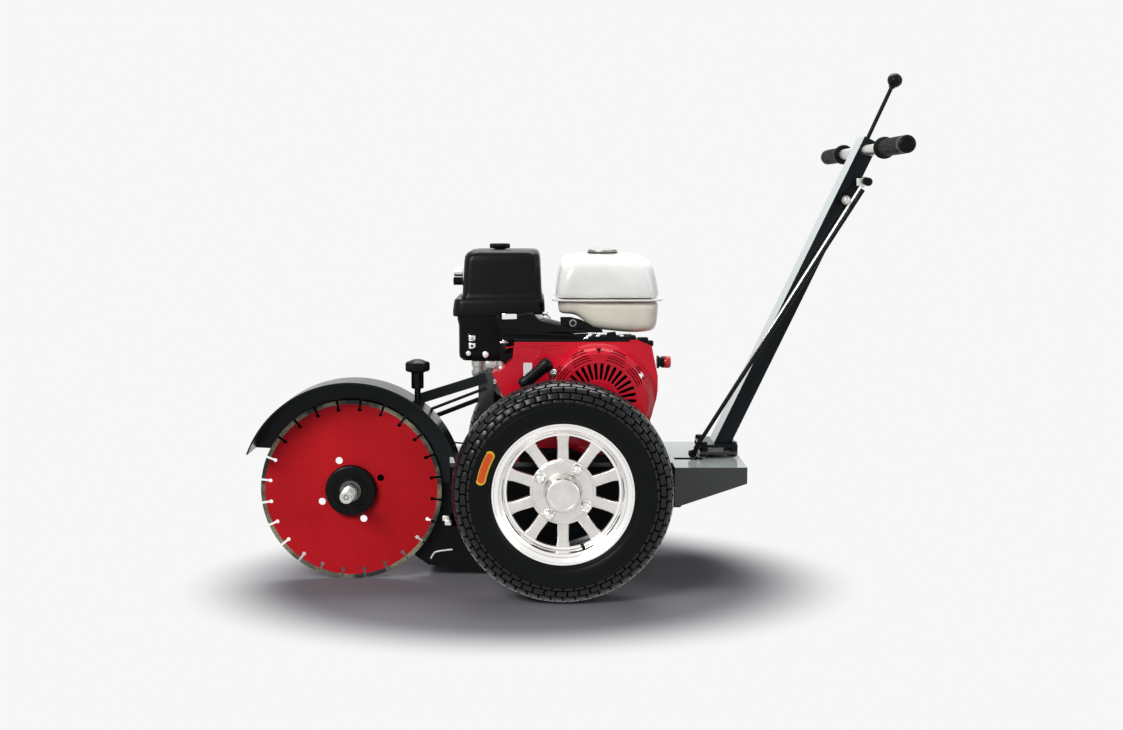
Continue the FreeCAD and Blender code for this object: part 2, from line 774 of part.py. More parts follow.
def make_handle():
    """Foot plates on rubber mounts, leaning column, two handlebar tubes and their grips."""
    x_low = "axle_x + foot_x - foot_length / 2"
    y_low = "0 - foot_width / 2"
    z_low = "deck_top + foot_boss_height"
    z_mount = "%s + foot_thick" % z_low
    z_high = "%s + rubber_height" % z_mount
    corners = []
    for x_sign in (-1, 1):
        for y_sign in (-1, 1):
            corners.append(("axle_x + foot_x + %d * (foot_length / 2 - bolt_inset)" % x_sign,
                            "%d * (foot_width / 2 - bolt_inset)" % y_sign))

    def bolt_holes(name):
        return [cylinder("%s_hole_%d" % (name, index), "bolt_radius", "4 * foot_thick + rubber_height",
                         spot[0], spot[1], "%s - foot_thick" % z_low) for index, spot in enumerate(corners)]

    slab = box("foot_plate_slab", "foot_length", "foot_width", "foot_thick", x_low, y_low, z_low)
    boss = cylinder("foot_plate_boss", "foot_boss_radius", "foot_boss_height", "axle_x + foot_x", 0,
                    "deck_top")
    lower = cut("foot_plate_cut", fuse("foot_plate_weldment", slab, boss), *bolt_holes("foot_plate"))
    node("foot_plate", lower)
    mounts = []
    bolts = []
    for index, spot in enumerate(corners):
        rubber = cylinder("rubber_%d" % index, "rubber_radius", "rubber_height", spot[0], spot[1], z_mount)
        way = cylinder("rubber_way_%d" % index, "bolt_radius", "rubber_height + 2", spot[0], spot[1],
                       "%s - 1" % z_mount)
        mounts.append(cut("rubber_mount_%d" % index, rubber, way))
        shank = cylinder("shank_%d" % index, "bolt_radius", "2 * foot_thick + rubber_height", spot[0],
                         spot[1], z_low)
        head = hexagon("bolt_head_%d" % index, "bolt_flats", "bolt_head", spot[0], spot[1],
                       "%s + foot_thick" % z_high)
        nut = hexagon("bolt_nut_%d" % index, "bolt_flats", "bolt_head", spot[0], spot[1],
                      "%s - bolt_head" % z_low)
        bolts.append(fuse("mount_bolt_%d" % index, shank, head, nut))
    node("rubber_mounts", group("rubber_mounts", mounts))
    node("mount_bolts", group("mount_bolts", bolts))

    corner = on_column("0 - 40", "0 - column_depth / 2")
    tube = box("column_tube", "column_depth", "column_width", "column_length + 40", corner[0],
               "0 - column_width / 2", corner[1], "column_lean")
    corner = on_column("0 - 41", "column_wall - column_depth / 2")
    hollow = box("column_hollow", "column_depth - 2 * column_wall", "column_width - 2 * column_wall",
                 "column_length + 42", corner[0], "column_wall - column_width / 2", corner[1], "column_lean")
    below = box("column_below", "400", "400", "200", "%s - 200" % FOOT_X, "0 - 200", "%s - 200" % FOOT_Z)
    corner = on_column("column_length - pivot_drop + 20")
    slot = box("lever_slot", "column_depth", "4 * lever_radius", "pivot_drop", corner[0],
               "0 - 2 * lever_radius", corner[1], "column_lean")
    pivot_way = cylinder("pivot_way", "pivot_radius + running_fit", "2 * column_width", PIVOT[0],
                         "0 - column_width", PIVOT[1], "y")
    shell = cut("column_cut", tube, hollow, below, slot, pivot_way)
    slab = box("column_foot", "foot_length", "foot_width", "foot_thick", x_low, y_low, z_high)
    foot = cut("column_foot_cut", slab, *bolt_holes("column_foot"))
    node("handle_column", fuse("column_weldment", shell, foot))

    x_bar, z_bar = on_column("column_length - bar_drop")
    stubs = []
    reach = "bar_reach - column_width / 2"
    for side, sign in (("left", -1), ("right", 1)):
        near_end = "0 - bar_reach" if sign < 0 else "column_width / 2"
        stubs.append(cylinder("bar_" + side, "bar_radius", reach, x_bar, near_end, z_bar, "y"))
        grip_start = "0 - bar_reach - 4" if sign < 0 else "bar_reach + 4 - grip_length"
        sleeve = cylinder("grip_sleeve_" + side, "grip_radius", "grip_length", x_bar, grip_start, z_bar, "y")
        flange_start = "grip_length - bar_reach - 4 - grip_flange_thick" if sign < 0 else "bar_reach + 4 - grip_length"
        flange = cylinder("grip_flange_" + side, "grip_flange_radius", "grip_flange_thick", x_bar,
                          flange_start,
                          z_bar, "y")
        grip = fuse("grip_body_" + side, sleeve, flange)
        way_start = "0 - bar_reach" if sign < 0 else "0"
        way = cylinder("grip_way_" + side, "bar_radius", "bar_reach", x_bar, way_start, z_bar, "y")
        node("grip_" + side, cut("grip_cut_" + side, grip, way))
    node("handlebar_tubes", group("handlebar_tubes", stubs))


def make_clutch():
    """Ball lever in the column, control rod, cross shaft, pull link, idler arm and its pulley."""
    near_face = "0 - column_width / 2"
    shaft = cylinder("lever_shaft", "pivot_radius", "column_width + 22", PIVOT[0], "%s - 13" % near_face,
                     PIVOT[1], "y")
    head = hexagon("lever_shaft_head", "20", "5", PIVOT[0], "%s - 17" % near_face, PIVOT[1], "y")
    boss = cylinder("lever_boss", "pivot_radius + 3", "5 * lever_radius", PIVOT[0], "0 - 2.5 * lever_radius",
                    PIVOT[1], "y")
    stick = cylinder("lever_stick", "lever_radius", "lever_length", PIVOT[0], 0, PIVOT[1], "z", "lever_lean")
    crank = bar_between("lever_crank", PIVOT, CRANK_PIN, "%s - 3 - crank_plate" % near_face, "18",
                        "crank_plate")
    pin = cylinder("lever_pin", "5", "34", CRANK_PIN[0], "%s - 3 - 34" % near_face, CRANK_PIN[1], "y")
    button = cylinder("lever_pin_cap", "7.5", "9", CRANK_PIN[0], "%s - 3 - 34 - 4" % near_face, CRANK_PIN[1],
                      "y")
    node("clutch_lever", fuse("lever_weldment", shaft, head, boss, stick, crank, pin, button))
    tip_x = "%s + lever_length * sin(lever_lean)" % PIVOT[0]
    tip_z = "%s + lever_length * cos(lever_lean)" % PIVOT[1]
    ball = sphere("lever_ball_solid", "ball_radius", "%s + 12 * sin(lever_lean)" % tip_x, 0,
                  "%s + 12 * cos(lever_lean)" % tip_z)
    socket = cylinder("lever_ball_socket", "lever_radius", "lever_length", PIVOT[0], 0, PIVOT[1], "z",
                      "lever_lean")
    node("lever_ball", cut("lever_ball_cut", ball, socket))

    rod = rod_between("control_rod_stem", ARM_PIN, CRANK_PIN, "rod_y", "rod_radius")
    high_eye = cylinder("rod_high_eye", "9.5", "10", CRANK_PIN[0], "rod_y - 5", CRANK_PIN[1], "y")
    low_eye = cylinder("rod_low_eye", "9", "10", ARM_PIN[0], "rod_y - 5", ARM_PIN[1], "y")
    high_way = cylinder("rod_high_way", "5 + running_fit", "20", CRANK_PIN[0], "rod_y - 10", CRANK_PIN[1],
                        "y")
    low_way = cylinder("rod_low_way", "5.5", "20", ARM_PIN[0], "rod_y - 10", ARM_PIN[1], "y")
    node("control_rod", cut("control_rod_cut", fuse("control_rod_forging", rod, high_eye, low_eye), high_way,
                            low_way))

    bar = cylinder("cross_shaft_bar", "shaft_radius", "2 * deck_half - shaft_skin + 4", "axle_x + shaft_x",
                   "shaft_skin - deck_half", "shaft_z", "y")
    arm = bar_between("cross_shaft_arm", ("axle_x + shaft_x", "shaft_z"), ARM_PIN, "rod_y + 6", "12",
                      "crank_plate")
    stud = cylinder("cross_shaft_stud", "2.5", "14", ARM_PIN[0], "rod_y - 6", ARM_PIN[1], "y")
    pull = box("cross_shaft_pull", "14", "arm_thick", "pull_arm", "axle_x + shaft_x - 7",
               "pull_y - 6 - arm_thick",
               "shaft_z - pull_arm")
    pin = cylinder("cross_shaft_pin", "4", "14", PULL_TOP[0], "pull_y - 8", PULL_TOP[1], "y")
    node("cross_shaft", fuse("cross_shaft_weldment", bar, arm, stud, pull, pin))

    rod = rod_between("link_stem", PULL_END, PULL_TOP, "pull_y", "3.5")
    eyes = []
    ways = []
    for index, (spot, slack) in enumerate(((PULL_TOP, "running_fit"), (PULL_END, "2.5"))):
        eyes.append(cylinder("link_eye_%d" % index, "9", "8", spot[0], "pull_y - 4", spot[1], "y"))
        ways.append(cylinder("link_way_%d" % index, "4 + %s" % slack, "16", spot[0], "pull_y - 8", spot[1],
                             "y"))
    node("pull_link", cut("pull_link_cut", fuse("pull_link_forging", rod, *eyes), *ways))

    stub = cylinder("idler_shaft", "shaft_radius", "belt_y - chassis_half", "axle_x + idler_x",
                    "chassis_half - side_thick - 4", "idler_z", "y")
    lower = box("idler_lower_arm", "14", "arm_thick", "pull_arm", "axle_x + idler_x - 7",
                "pull_y - 6 - arm_thick",
                "idler_z - pull_arm")
    pin = cylinder("idler_pull_pin", "4", "14", PULL_END[0], "pull_y - 8", PULL_END[1], "y")
    upper = bar_between("idler_upper_arm", ("axle_x + idler_x", "idler_z"), IDLER,
                        "belt_y - idler_width / 2 - 7 - arm_thick", "18", "arm_thick")
    axis = cylinder("idler_axis", "6", "idler_width + 13", IDLER[0], "belt_y - idler_width / 2 - 8", IDLER[1],
                    "y")
    node("idler_arm", fuse("idler_arm_weldment", stub, lower, pin, upper, axis))
    wheel = cylinder("idler_wheel", "idler_radius", "idler_width", IDLER[0], "belt_y - idler_width / 2",
                     IDLER[1], "y")
    way = cylinder("idler_wheel_way", "6 + running_fit", "2 * idler_width", IDLER[0], "belt_y - idler_width",
                   IDLER[1], "y")
    node("idler_pulley", cut("idler_pulley_cut", wheel, way))


def make_guard():
    """Half-moon guard with its mushroom knob, flat strut and brace rod."""
    x_mid = "axle_x + guard_x"
    width = "guard_far - guard_near"
    outer = cylinder("guard_outer", "guard_radius", width, x_mid, "guard_near", "guard_z", "y")
    inner = cylinder("guard_inner", "guard_radius - guard_thick", "%s - guard_thick" % width, x_mid,
                     "guard_near",
                     "guard_z", "y")
    region = body("guard_region", "axle_x", "guard_near - 1")
    outline = [
        ("guard_x - guard_radius - 20", "guard_floor_front"),
        ("guard_x + guard_radius + 20", "guard_floor_rear"),
        ("guard_x + guard_radius + 20", "guard_z + guard_radius + 20"),
        ("guard_x - guard_radius - 20", "guard_z + guard_radius + 20"),
    ]
    pad(region, polygon(region, "XZ_Plane", "guard_region_outline", outline), "%s + 2" % width)
    moon = common("guard_moon", cut("guard_cup", outer, inner), region)
    tab = box("guard_tab", "guard_tab_width", "guard_thick", "guard_floor_rear + 12 - guard_tab_low",
              "axle_x + guard_tab_x", "guard_far - guard_thick", "guard_tab_low")
    way = cylinder("guard_knob_way", "neck_radius + running_fit", "80", "axle_x + knob_x", "knob_y",
                   "knob_foot - 20")
    node("blade_guard", cut("blade_guard_cut", fuse("guard_weldment", moon, tab), way))

    stem_top = "knob_seat + guard_stem_height"
    neck = cylinder("knob_neck", "neck_radius", "knob_seat - knob_foot", "axle_x + knob_x", "knob_y",
                    "knob_foot")
    stem = cylinder("knob_stem", "guard_stem_radius", "guard_stem_height", "axle_x + knob_x", "knob_y",
                    "knob_seat")
    head = cylinder("knob_head", "guard_knob_radius", "guard_knob_height", "axle_x + knob_x", "knob_y",
                    stem_top)
    node("guard_knob", fuse("guard_knob_moulding", neck, stem, head))

    low = ("axle_x + strut_low_x", "strut_low_z")
    high = ("axle_x + strut_high_x", "strut_high_z")
    node("guard_strut", bar_between("guard_strut_bar", low, high, "guard_far", "strut_width", "strut_thick"))
    low = ("axle_x + brace_low_x", "brace_low_z")
    high = ("axle_x + brace_high_x", "brace_high_z")
    node("guard_brace", rod_between("guard_brace_rod", low, high, "guard_far + strut_thick - brace_radius",
                                    "brace_radius"))


def loop_round_pulleys(name, radius, y, width):
    """The outline of a taut band round both pulleys, from y towards +Y."""
    ends = [("axle_x + disc_x", "disc_radius"), ("axle_x + engine_x", "engine_z")]
    rounds = [cylinder("%s_round_%d" % (name, index), radius, width, end[0], y, end[1], "y")
              for index, end in enumerate(ends)]
    web = bar_between(name + "_web", ends[0], ends[1], y, "2 * (%s)" % radius, width)
    return fuse(name, web, *rounds)


def make_drive():
    """Belt between the engine's pulley and the disc's pulley, and the cover over both."""
    low = "belt_y - belt_width / 2"
    outer = loop_round_pulleys("belt_outer", "pulley_radius", low, "belt_width")
    inner = loop_round_pulleys("belt_inner", "pulley_radius - belt_height", "%s - 1" % low, "belt_width + 2")
    node("drive_belt", cut("drive_belt_cut", outer, inner))
    rim = "pulley_radius + 3 + cover_gap"
    shell = loop_round_pulleys("cover_outer", rim, "cover_near", "cover_far - cover_near")
    hollow = loop_round_pulleys("cover_inner", "%s - cover_wall" % rim, "cover_near - cover_wall",
                                "cover_far - cover_near")
    skin = cut("cover_skin", shell, hollow)
    posts = []
    for index, (x_post, z_post) in enumerate((("43", "43"), ("-78", "-30"))):
        posts.append(cylinder("cover_post_%d" % index, "5", "cover_far - block_half",
                              "axle_x + engine_x + %s" % x_post, "block_half", "engine_z + %s" % z_post, "y"))
    idler_way = box("cover_idler_way", "3.2 * idler_radius", "cover_far - cover_near - cover_wall",
                    "4 * idler_radius", "%s - 2 * idler_radius" % IDLER[0], "cover_near - cover_wall",
                    "%s - 2.8 * idler_radius" % IDLER[1])
    open_end = box("cover_open_end", "cover_front - disc_x + 2 * pulley_radius",
                   "2 * (cover_far - cover_near)",
                   "4 * disc_radius", "axle_x + disc_x - 2 * pulley_radius", "cover_near - cover_wall", 0)
    node("belt_cover", cut("belt_cover_cut", fuse("belt_cover_weldment", skin, *posts), idler_way, open_end))


def make_engine():
    """Block, head, shroud, recoil starter, rotating parts, tank, air cleaner, carburettor and muffler."""
    x_crank = "axle_x + engine_x"
    block = box("crankcase_block", "block_rear - block_front", "2 * block_half", "block_top - deck_top",
                "axle_x + block_front", "0 - block_half", "deck_top")
    way = cylinder("crankcase_way", "crank_radius + running_fit", "4 * block_half", x_crank,
                   "0 - 2 * block_half",
                   "engine_z", "y")
    node("crankcase", cut("crankcase_cut", block, way))
    fins = [box("cylinder_core", "block_front - head_front - 12", "2 * head_half - 16",
                "head_top - head_bottom",
                "axle_x + head_front + 12", "8 - head_half", "head_bottom")]
    for index in range(7):
        fins.append(box("cylinder_fin_%d" % index, "4", "2 * head_half", "head_top - head_bottom - 8",
                        "axle_x + head_front + %d * (block_front - head_front - 30) / 7 + 14" % index,
                        "0 - head_half", "head_bottom + 4"))
    fins.append(box("rocker_cover", "12", "2 * head_half - 40", "head_top - head_bottom - 20",
                    "axle_x + head_front", "20 - head_half", "head_bottom + 10"))
    corner = plate("cylinder_head_slope", "0 - head_half - 1", "2 * head_half + 2",
                   (("head_front - 1", "head_bottom - 1"), ("block_front - 38", "head_bottom - 1"),
                    ("block_front - 38", "head_bottom + 12"), ("head_front + 26", "head_top - 44"),
                    ("head_front - 1", "head_top - 36")))
    node("cylinder_head", cut("cylinder_head_cut", fuse("cylinder_head_casting", *fins), corner))

    def shroud_outline(inset):
        return [
            ("shroud_front - 7 + %s" % inset, "notch_z - 25 - %s" % inset),
            ("shroud_front + 18 + %s" % inset, "shroud_top - 118"),
            ("shroud_front + 38 + %s" % inset, "shroud_bottom + %s" % inset),
            ("shroud_rear - 30 - %s" % inset, "shroud_bottom + %s" % inset),
            ("shroud_rear - %s" % inset, "shroud_bottom + 60"),
            ("shroud_rear - %s" % inset, "shroud_top - 70"),
            ("shroud_rear - 12 - %s" % inset, "shroud_top - 12 - %s" % inset),
            ("shroud_rear - 40 - %s" % inset, "shroud_top - %s" % inset),
            ("notch_x + %s" % inset, "shroud_top - %s" % inset), ("notch_x - 4 + %s" % inset, "notch_z"),
            ("shroud_front + 8", "notch_z - 22 - %s" % inset),
        ]

    depth = "0 - block_half - shroud_face"
    skin = plate("fan_shroud_skin", "shroud_face", depth, shroud_outline("0"))
    inside = plate("fan_shroud_inside", "shroud_face + shroud_wall", depth, shroud_outline("shroud_wall"))
    eye = cylinder("fan_shroud_eye", "flywheel_radius + 6", "20", x_crank, "shroud_face - 10", "engine_z",
                   "y")
    node("fan_shroud", cut("fan_shroud_cut", skin, inside, eye))

    cover = body("recoil_shell", x_crank, "shroud_face - recoil_depth", "engine_z")
    face = pad(cover, circles(cover, "XZ_Plane", "recoil_face", [("0", "0", "recoil_radius")]),
               "recoil_depth")
    fillet(cover, face, "12", lambda edge: edge.BoundBox.YMax < 0.01 and edge.Closed)
    louver = [
        ("0 - louver_width / 2", "louver_inner"), ("louver_width / 2", "louver_inner"),
        ("louver_width / 2", "louver_outer"), ("0 - louver_width / 2", "louver_outer"),
    ]
    louver_sketch = polygon(cover, "XZ_Plane", "recoil_louver", louver)
    polar(cover, pocket(cover, louver_sketch), louver_sketch, "louver_count")
    cup = cylinder("recoil_hollow", "recoil_radius - recoil_wall", "recoil_depth", x_crank,
                   "shroud_face - recoil_depth + recoil_wall", "engine_z", "y")
    node("recoil_cover", cut("recoil_cover_cut", cover, cup))
    handle_y = "shroud_face - recoil_depth - grip_handle_radius - 1"
    half_run = "grip_handle_length / 2"
    low = ("axle_x + grip_handle_x - %s * cos(grip_handle_angle)" % half_run,
           "grip_handle_z - %s * sin(grip_handle_angle)" % half_run)
    high = ("axle_x + grip_handle_x + %s * cos(grip_handle_angle)" % half_run,
            "grip_handle_z + %s * sin(grip_handle_angle)" % half_run)
    node("recoil_grip", rod_between("recoil_grip_bar", low, high, handle_y, "grip_handle_radius"))

    wheel = cylinder("flywheel_disc", "flywheel_radius", "flywheel_thick", x_crank, "shroud_face + 10",
                     "engine_z", "y")
    way = cylinder("flywheel_way", "crank_radius", "4 * flywheel_thick", x_crank, "shroud_face", "engine_z",
                   "y")
    node("flywheel", cut("flywheel_cut", wheel, way))
    node("crankshaft", cylinder("crankshaft_bar", "crank_radius",
                                "belt_y + pulley_width / 2 - shroud_face - 4",
                                x_crank, "shroud_face + 4", "engine_z", "y"))
    node("drive_pulley", pulley("drive_pulley", "engine_x", "engine_z", "crank_radius"))

    make_tank()
    make_air_cleaner()
    make_controls()


def tank_slope(offset):
    """The corner cut from the tank's lower front, as an outline moved into the tank by an offset."""
    return (("tank_front - 2", "tank_bottom - 2"), ("tank_front + 112 + %s" % offset, "tank_bottom - 2"),
            ("tank_front + 62 + %s" % offset, "tank_bottom + 12 + %s" % offset),
            ("tank_front + 18 + %s" % offset, "tank_bottom + 38 + %s" % offset),
            ("tank_front - 2", "tank_bottom + 42 + %s" % offset))


def make_tank():
    """Pressed fuel tank with its seam lip and four feet, and the filler cap."""
    ends = (("tank_front", "0 - tank_half", "tank_bottom"), ("tank_rear", "tank_half", "tank_top"))
    skin = rounded_box("tank_skin", ends, "24", "24")
    lip_ends = (("tank_front - seam_lip", "0 - tank_half - seam_lip", "tank_seam - seam_thick / 2"),
                ("tank_rear + seam_lip", "tank_half + seam_lip", "tank_seam + seam_thick / 2"))
    lip = rounded_box("tank_lip", lip_ends, "30")
    inner = (("tank_front + tank_wall", "tank_wall - tank_half", "tank_bottom + tank_wall"),
             ("tank_rear - tank_wall", "tank_half - tank_wall", "tank_top - tank_wall"))
    hollow = rounded_box("tank_hollow", inner, "21", "21")
    slope = plate("tank_slope", "0 - tank_half - 1", "2 * tank_half + 2", tank_slope("0"))
    slope_inside = plate("tank_slope_inside", "0 - tank_half", "2 * tank_half", tank_slope("tank_wall"))
    feet = []
    for x_text in ("tank_front + 34", "block_rear - 24"):
        for y_text in ("0 - block_half / 2", "block_half / 2"):
            feet.append(cylinder("tank_foot_%d" % len(feet), "tank_post_radius",
                                 "tank_bottom + 38 - block_top",
                                 "axle_x + %s" % x_text, y_text, "block_top"))
    shell = fuse("fuel_tank_weldment", cut("tank_skin_cut", skin, slope), lip, *feet)
    node("fuel_tank", cut("fuel_tank_cut", shell, cut("tank_hollow_cut", hollow, slope_inside)))
    x_cap = "axle_x + (tank_front + tank_rear) / 2 - 6"
    disc = cylinder("fuel_cap_disc", "cap_radius", "cap_height - 3", x_cap, 0, "tank_top")
    dome = cone("fuel_cap_dome", "cap_radius", "cap_radius - 8", "4", x_cap, 0, "tank_top + cap_height - 3")
    node("fuel_cap", fuse("fuel_cap_pressing", disc, dome))


def make_air_cleaner():
    """Air-cleaner base with its flared band and foot, tall cover, and wing knob."""
    ends = (("filter_front", "0 - filter_half", "filter_band_top"),
            ("filter_rear", "filter_half", "filter_top"))
    skin = rounded_box("filter_skin", ends, "24", "14")
    inner = (("filter_front + filter_wall", "filter_wall - filter_half", "filter_band_top - 1"),
             ("filter_rear - filter_wall", "filter_half - filter_wall", "filter_top - filter_wall"))
    hollow = rounded_box("filter_hollow", inner, "21", "11")
    node("air_cleaner_cover", cut("air_cleaner_cover_cut", skin, hollow))
    ends = (("filter_front - filter_band_lip", "0 - filter_half - 6", "filter_band_bottom"),
            ("filter_rear + 6", "filter_half + 6", "filter_band_top"))
    band = rounded_box("filter_band", ends, "24")
    ends = (("filter_front - 8", "0 - filter_half + 8", "filter_foot_bottom"),
            ("filter_foot_rear", "filter_half - 8", "filter_band_bottom + 1"))
    foot = rounded_box("filter_foot", ends, "14")
    element = cylinder("filter_element", "38", "filter_top - filter_band_top - 14",
                       "axle_x + (filter_front + filter_rear) / 2", 0, "filter_band_top - 1")
    inside = box("filter_foot_inside", "filter_foot_rear - filter_front", "2 * filter_half - 24",
                 "filter_band_bottom - filter_foot_bottom - 12", "axle_x + filter_front - 4",
                 "12 - filter_half",
                 "filter_foot_bottom + 6")
    solid = fuse("air_cleaner_base_moulding", band, foot, element)
    node("air_cleaner_base", cut("air_cleaner_base_cut", solid, inside))
    x_knob = "axle_x + (filter_front + filter_rear) / 2 - 6"
    wing = box("wing", "2.3 * knob_radius", "7", "knob_height", "%s - 1.15 * knob_radius" % x_knob, "0 - 3.5",
               "filter_top")
    core = cylinder("wing_core", "knob_radius * 0.7", "knob_height", x_knob, 0, "filter_top")
    node("air_cleaner_knob", fuse("air_cleaner_knob_moulding", wing, core))


def make_controls():
    """Carburettor, muffler, control plate with its throttle lever, and stop switch."""
    throat = cylinder("carb_throat", "20", "carb_rear - filter_foot_rear", "axle_x + filter_foot_rear",
                      "0 - 20",
                      "(head_top + carb_top) / 2 + 4", "x")
    bowl = cylinder("carb_bowl", "19", "carb_top - head_top - 20",
                    "axle_x + (filter_foot_rear + carb_rear) / 2", "0 - 20",
                    "head_top")
    node("carburettor", fuse("carburettor_casting", throat, bowl))
    x_low = "axle_x + filter_front + 6"
    y_low = "filter_half + 10"
    can = rounded_box("muffler_can", (("filter_front + 6", y_low, "head_top + 14"),
                                      ("filter_front + 6 + muffler_length", "%s + muffler_depth" % y_low,
                                       "head_top + 14 + muffler_height")), "18", "14")
    pipe = cylinder("muffler_pipe", "14", "%s + 30 - head_half" % y_low, "%s + 70" % x_low, "head_half",
                    "head_top - 24", "y")
    riser = cylinder("muffler_riser", "14", "60", "%s + 70" % x_low, "%s + 24" % y_low, "head_top - 30")
    inside = box("muffler_inside", "muffler_length - 16", "muffler_depth - 16", "muffler_height - 16",
                 "%s + 8" % x_low, "%s + 8" % y_low, "head_top + 22")
    node("muffler", fuse("muffler_weldment", cut("muffler_shell", can, inside), pipe, riser))

    y_control = "(shroud_face - block_half) / 2"
    slab = box("control_slab", "control_rear - control_front", "2 * control_half", "control_thick",
               "axle_x + control_front", "%s - control_half" % y_control, "shroud_top")
    wire = cylinder("control_wire", "throttle_radius", "control_rear - control_front - 26",
                    "axle_x + control_front + 20", "%s - control_half - 4" % y_control,
                    "shroud_top + control_thick + 2", "x")
    holders = [box("wire_holder_%d" % index, "6", "12", "8", "axle_x + control_front + %d" % offset,
                   "%s - control_half - 8" % y_control, "shroud_top + control_thick - 4")
               for index, offset in enumerate((24, 132))]
    x_throttle = "axle_x + control_front + 70"
    z_throttle = "shroud_top + control_thick + throttle_pivot"
    lug = box("throttle_lug", "10", "3", "throttle_pivot + 5", "%s - 5" % x_throttle, "%s + 4" % y_control,
              "shroud_top + control_thick - 1")
    pin = cylinder("throttle_pin_bar", "throttle_pin", "8", x_throttle, "%s - 2" % y_control, z_throttle, "y")
    node("control_plate", fuse("control_plate_pressing", slab, wire, lug, pin, *holders))
    stalk = box("throttle_stalk", "6", "3", "throttle_length - 20 - throttle_pivot", "%s - 3" % x_throttle,
                y_control,
                z_throttle)
    hub = cylinder("throttle_hub_disc", "throttle_hub", "3", x_throttle, y_control, z_throttle, "y")
    way = cylinder("throttle_way", "throttle_pin + running_fit", "10", x_throttle, "%s - 3" % y_control,
                   z_throttle, "y")
    tip = box("throttle_tip", "16", "6", "8", "%s - 8" % x_throttle, "%s - 3" % y_control,
              "shroud_top + control_thick + throttle_length - 22")
    node("throttle_lever", cut("throttle_lever_cut", fuse("throttle_lever_pressing", stalk, hub, tip), way))
    y_switch = "%s - 6" % y_control
    collar = cylinder("switch_collar", "switch_radius + 2", "16", "axle_x + shroud_rear", y_switch,
                      "switch_z", "x")
    button = cylinder("switch_button", "switch_radius", "12", "axle_x + shroud_rear + 15", y_switch,
                      "switch_z", "x")
    node("stop_switch", fuse("stop_switch_set", collar, button))


def write_parts():
    doc.recompute()
    for item in doc.Objects:
        if "Invalid" in item.State or "Error" in item.State:
            raise RuntimeError("%s: %s" % (item.Name, item.State))
    os.makedirs("parts", exist_ok=True)
    for item in NODES:
        if item.Shape.isNull() or not item.Shape.isValid():
            raise RuntimeError("%s has no valid shape" % item.Label)
        item.Shape.exportStep("parts/%s.step" % item.Label)
    print("%d sub-parts written" % len(NODES))


make_wheel("left", -1)
make_wheel("right", 1)
make_chassis()
make_spindle()
make_handle()
make_clutch()
make_guard()
make_drive()
make_engine()
write_parts()
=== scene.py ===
import math

import bmesh
import bpy
from mathutils import Matrix, Vector


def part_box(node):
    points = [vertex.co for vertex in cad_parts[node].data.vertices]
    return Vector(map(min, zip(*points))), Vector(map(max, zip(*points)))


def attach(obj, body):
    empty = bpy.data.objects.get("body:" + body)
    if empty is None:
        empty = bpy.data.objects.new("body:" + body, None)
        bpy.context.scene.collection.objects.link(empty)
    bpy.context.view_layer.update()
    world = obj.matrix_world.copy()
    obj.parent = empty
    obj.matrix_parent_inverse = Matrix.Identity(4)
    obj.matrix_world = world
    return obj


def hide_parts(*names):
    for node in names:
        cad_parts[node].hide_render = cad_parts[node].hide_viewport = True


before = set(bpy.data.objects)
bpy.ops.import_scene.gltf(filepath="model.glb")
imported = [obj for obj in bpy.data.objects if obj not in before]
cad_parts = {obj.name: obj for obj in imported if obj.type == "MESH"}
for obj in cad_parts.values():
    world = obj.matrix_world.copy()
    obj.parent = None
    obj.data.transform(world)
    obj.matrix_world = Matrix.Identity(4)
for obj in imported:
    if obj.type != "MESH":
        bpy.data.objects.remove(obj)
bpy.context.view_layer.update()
MM = 0.001
TAU = 2 * math.pi
ORIGIN = (0, 0, 0)

# ---------------------------------------------------------------- materials

def new_material(name, roughness=0.5, metallic=0.0, coat=0.0, coat_roughness=0.1, specular=0.5):
    """A material with its constants on the shader's own sockets."""
    mat = bpy.data.materials.new(name)
    mat.use_nodes = True
    tree = mat.node_tree
    shader = tree.nodes["Principled BSDF"]
    constants = {"Roughness": roughness, "Metallic": metallic, "Coat Weight": coat,
                 "Coat Roughness": coat_roughness,
                 "Specular IOR Level": specular}
    for key, value in constants.items():
        shader.inputs[key].default_value = value
    return mat, tree, shader


def add(tree, kind, values=None, sources=None, **settings):
    """A shader node with its settings, its constant inputs and its linked inputs."""
    node = tree.nodes.new("ShaderNode" + kind)
    for key, value in settings.items():
        setattr(node, key, value)
    for key, value in (values or {}).items():
        node.inputs[key].default_value = value
    for key, source in (sources or {}).items():
        tree.links.new(source, node.inputs[key])
    return node


def noise(tree, scale, detail=4.0, rough=0.5, stretch=None):
    """Noise in the piece's own coordinates; stretch scales its three directions."""
    source = add(tree, "TexCoord").outputs["Object"]
    if stretch:
        source = add(tree, "Mapping", {"Scale": stretch}, {"Vector": source}).outputs["Vector"]
    values = {"Scale": scale, "Detail": detail, "Roughness": rough}
    return add(tree, "TexNoise", values, {"Vector": source}).outputs["Fac"]


def ramp(tree, source, stops):
    """A colour ramp over a value."""
    node = add(tree, "ValToRGB", sources={"Fac": source})
    points = node.color_ramp.elements
    while len(points) < len(stops):
        points.new(0.5)
    for point, (at, colour) in zip(points, stops):
        point.position = at
        point.color = (*colour, 1)
    return node.outputs["Color"]


def span(tree, source, low, high, at=(0.3, 0.7)):
    """A value stretched from one range to another."""
    values = {"From Min": at[0], "From Max": at[1], "To Min": low, "To Max": high}
    return add(tree, "MapRange", values, {"Value": source}).outputs["Result"]


def bump(tree, shader, source, depth):
    """Bump from a height, as the shader's normal."""
    node = add(tree, "Bump", {"Distance": depth, "Strength": 1.0}, {"Height": source})
    tree.links.new(node.outputs["Normal"], shader.inputs["Normal"])


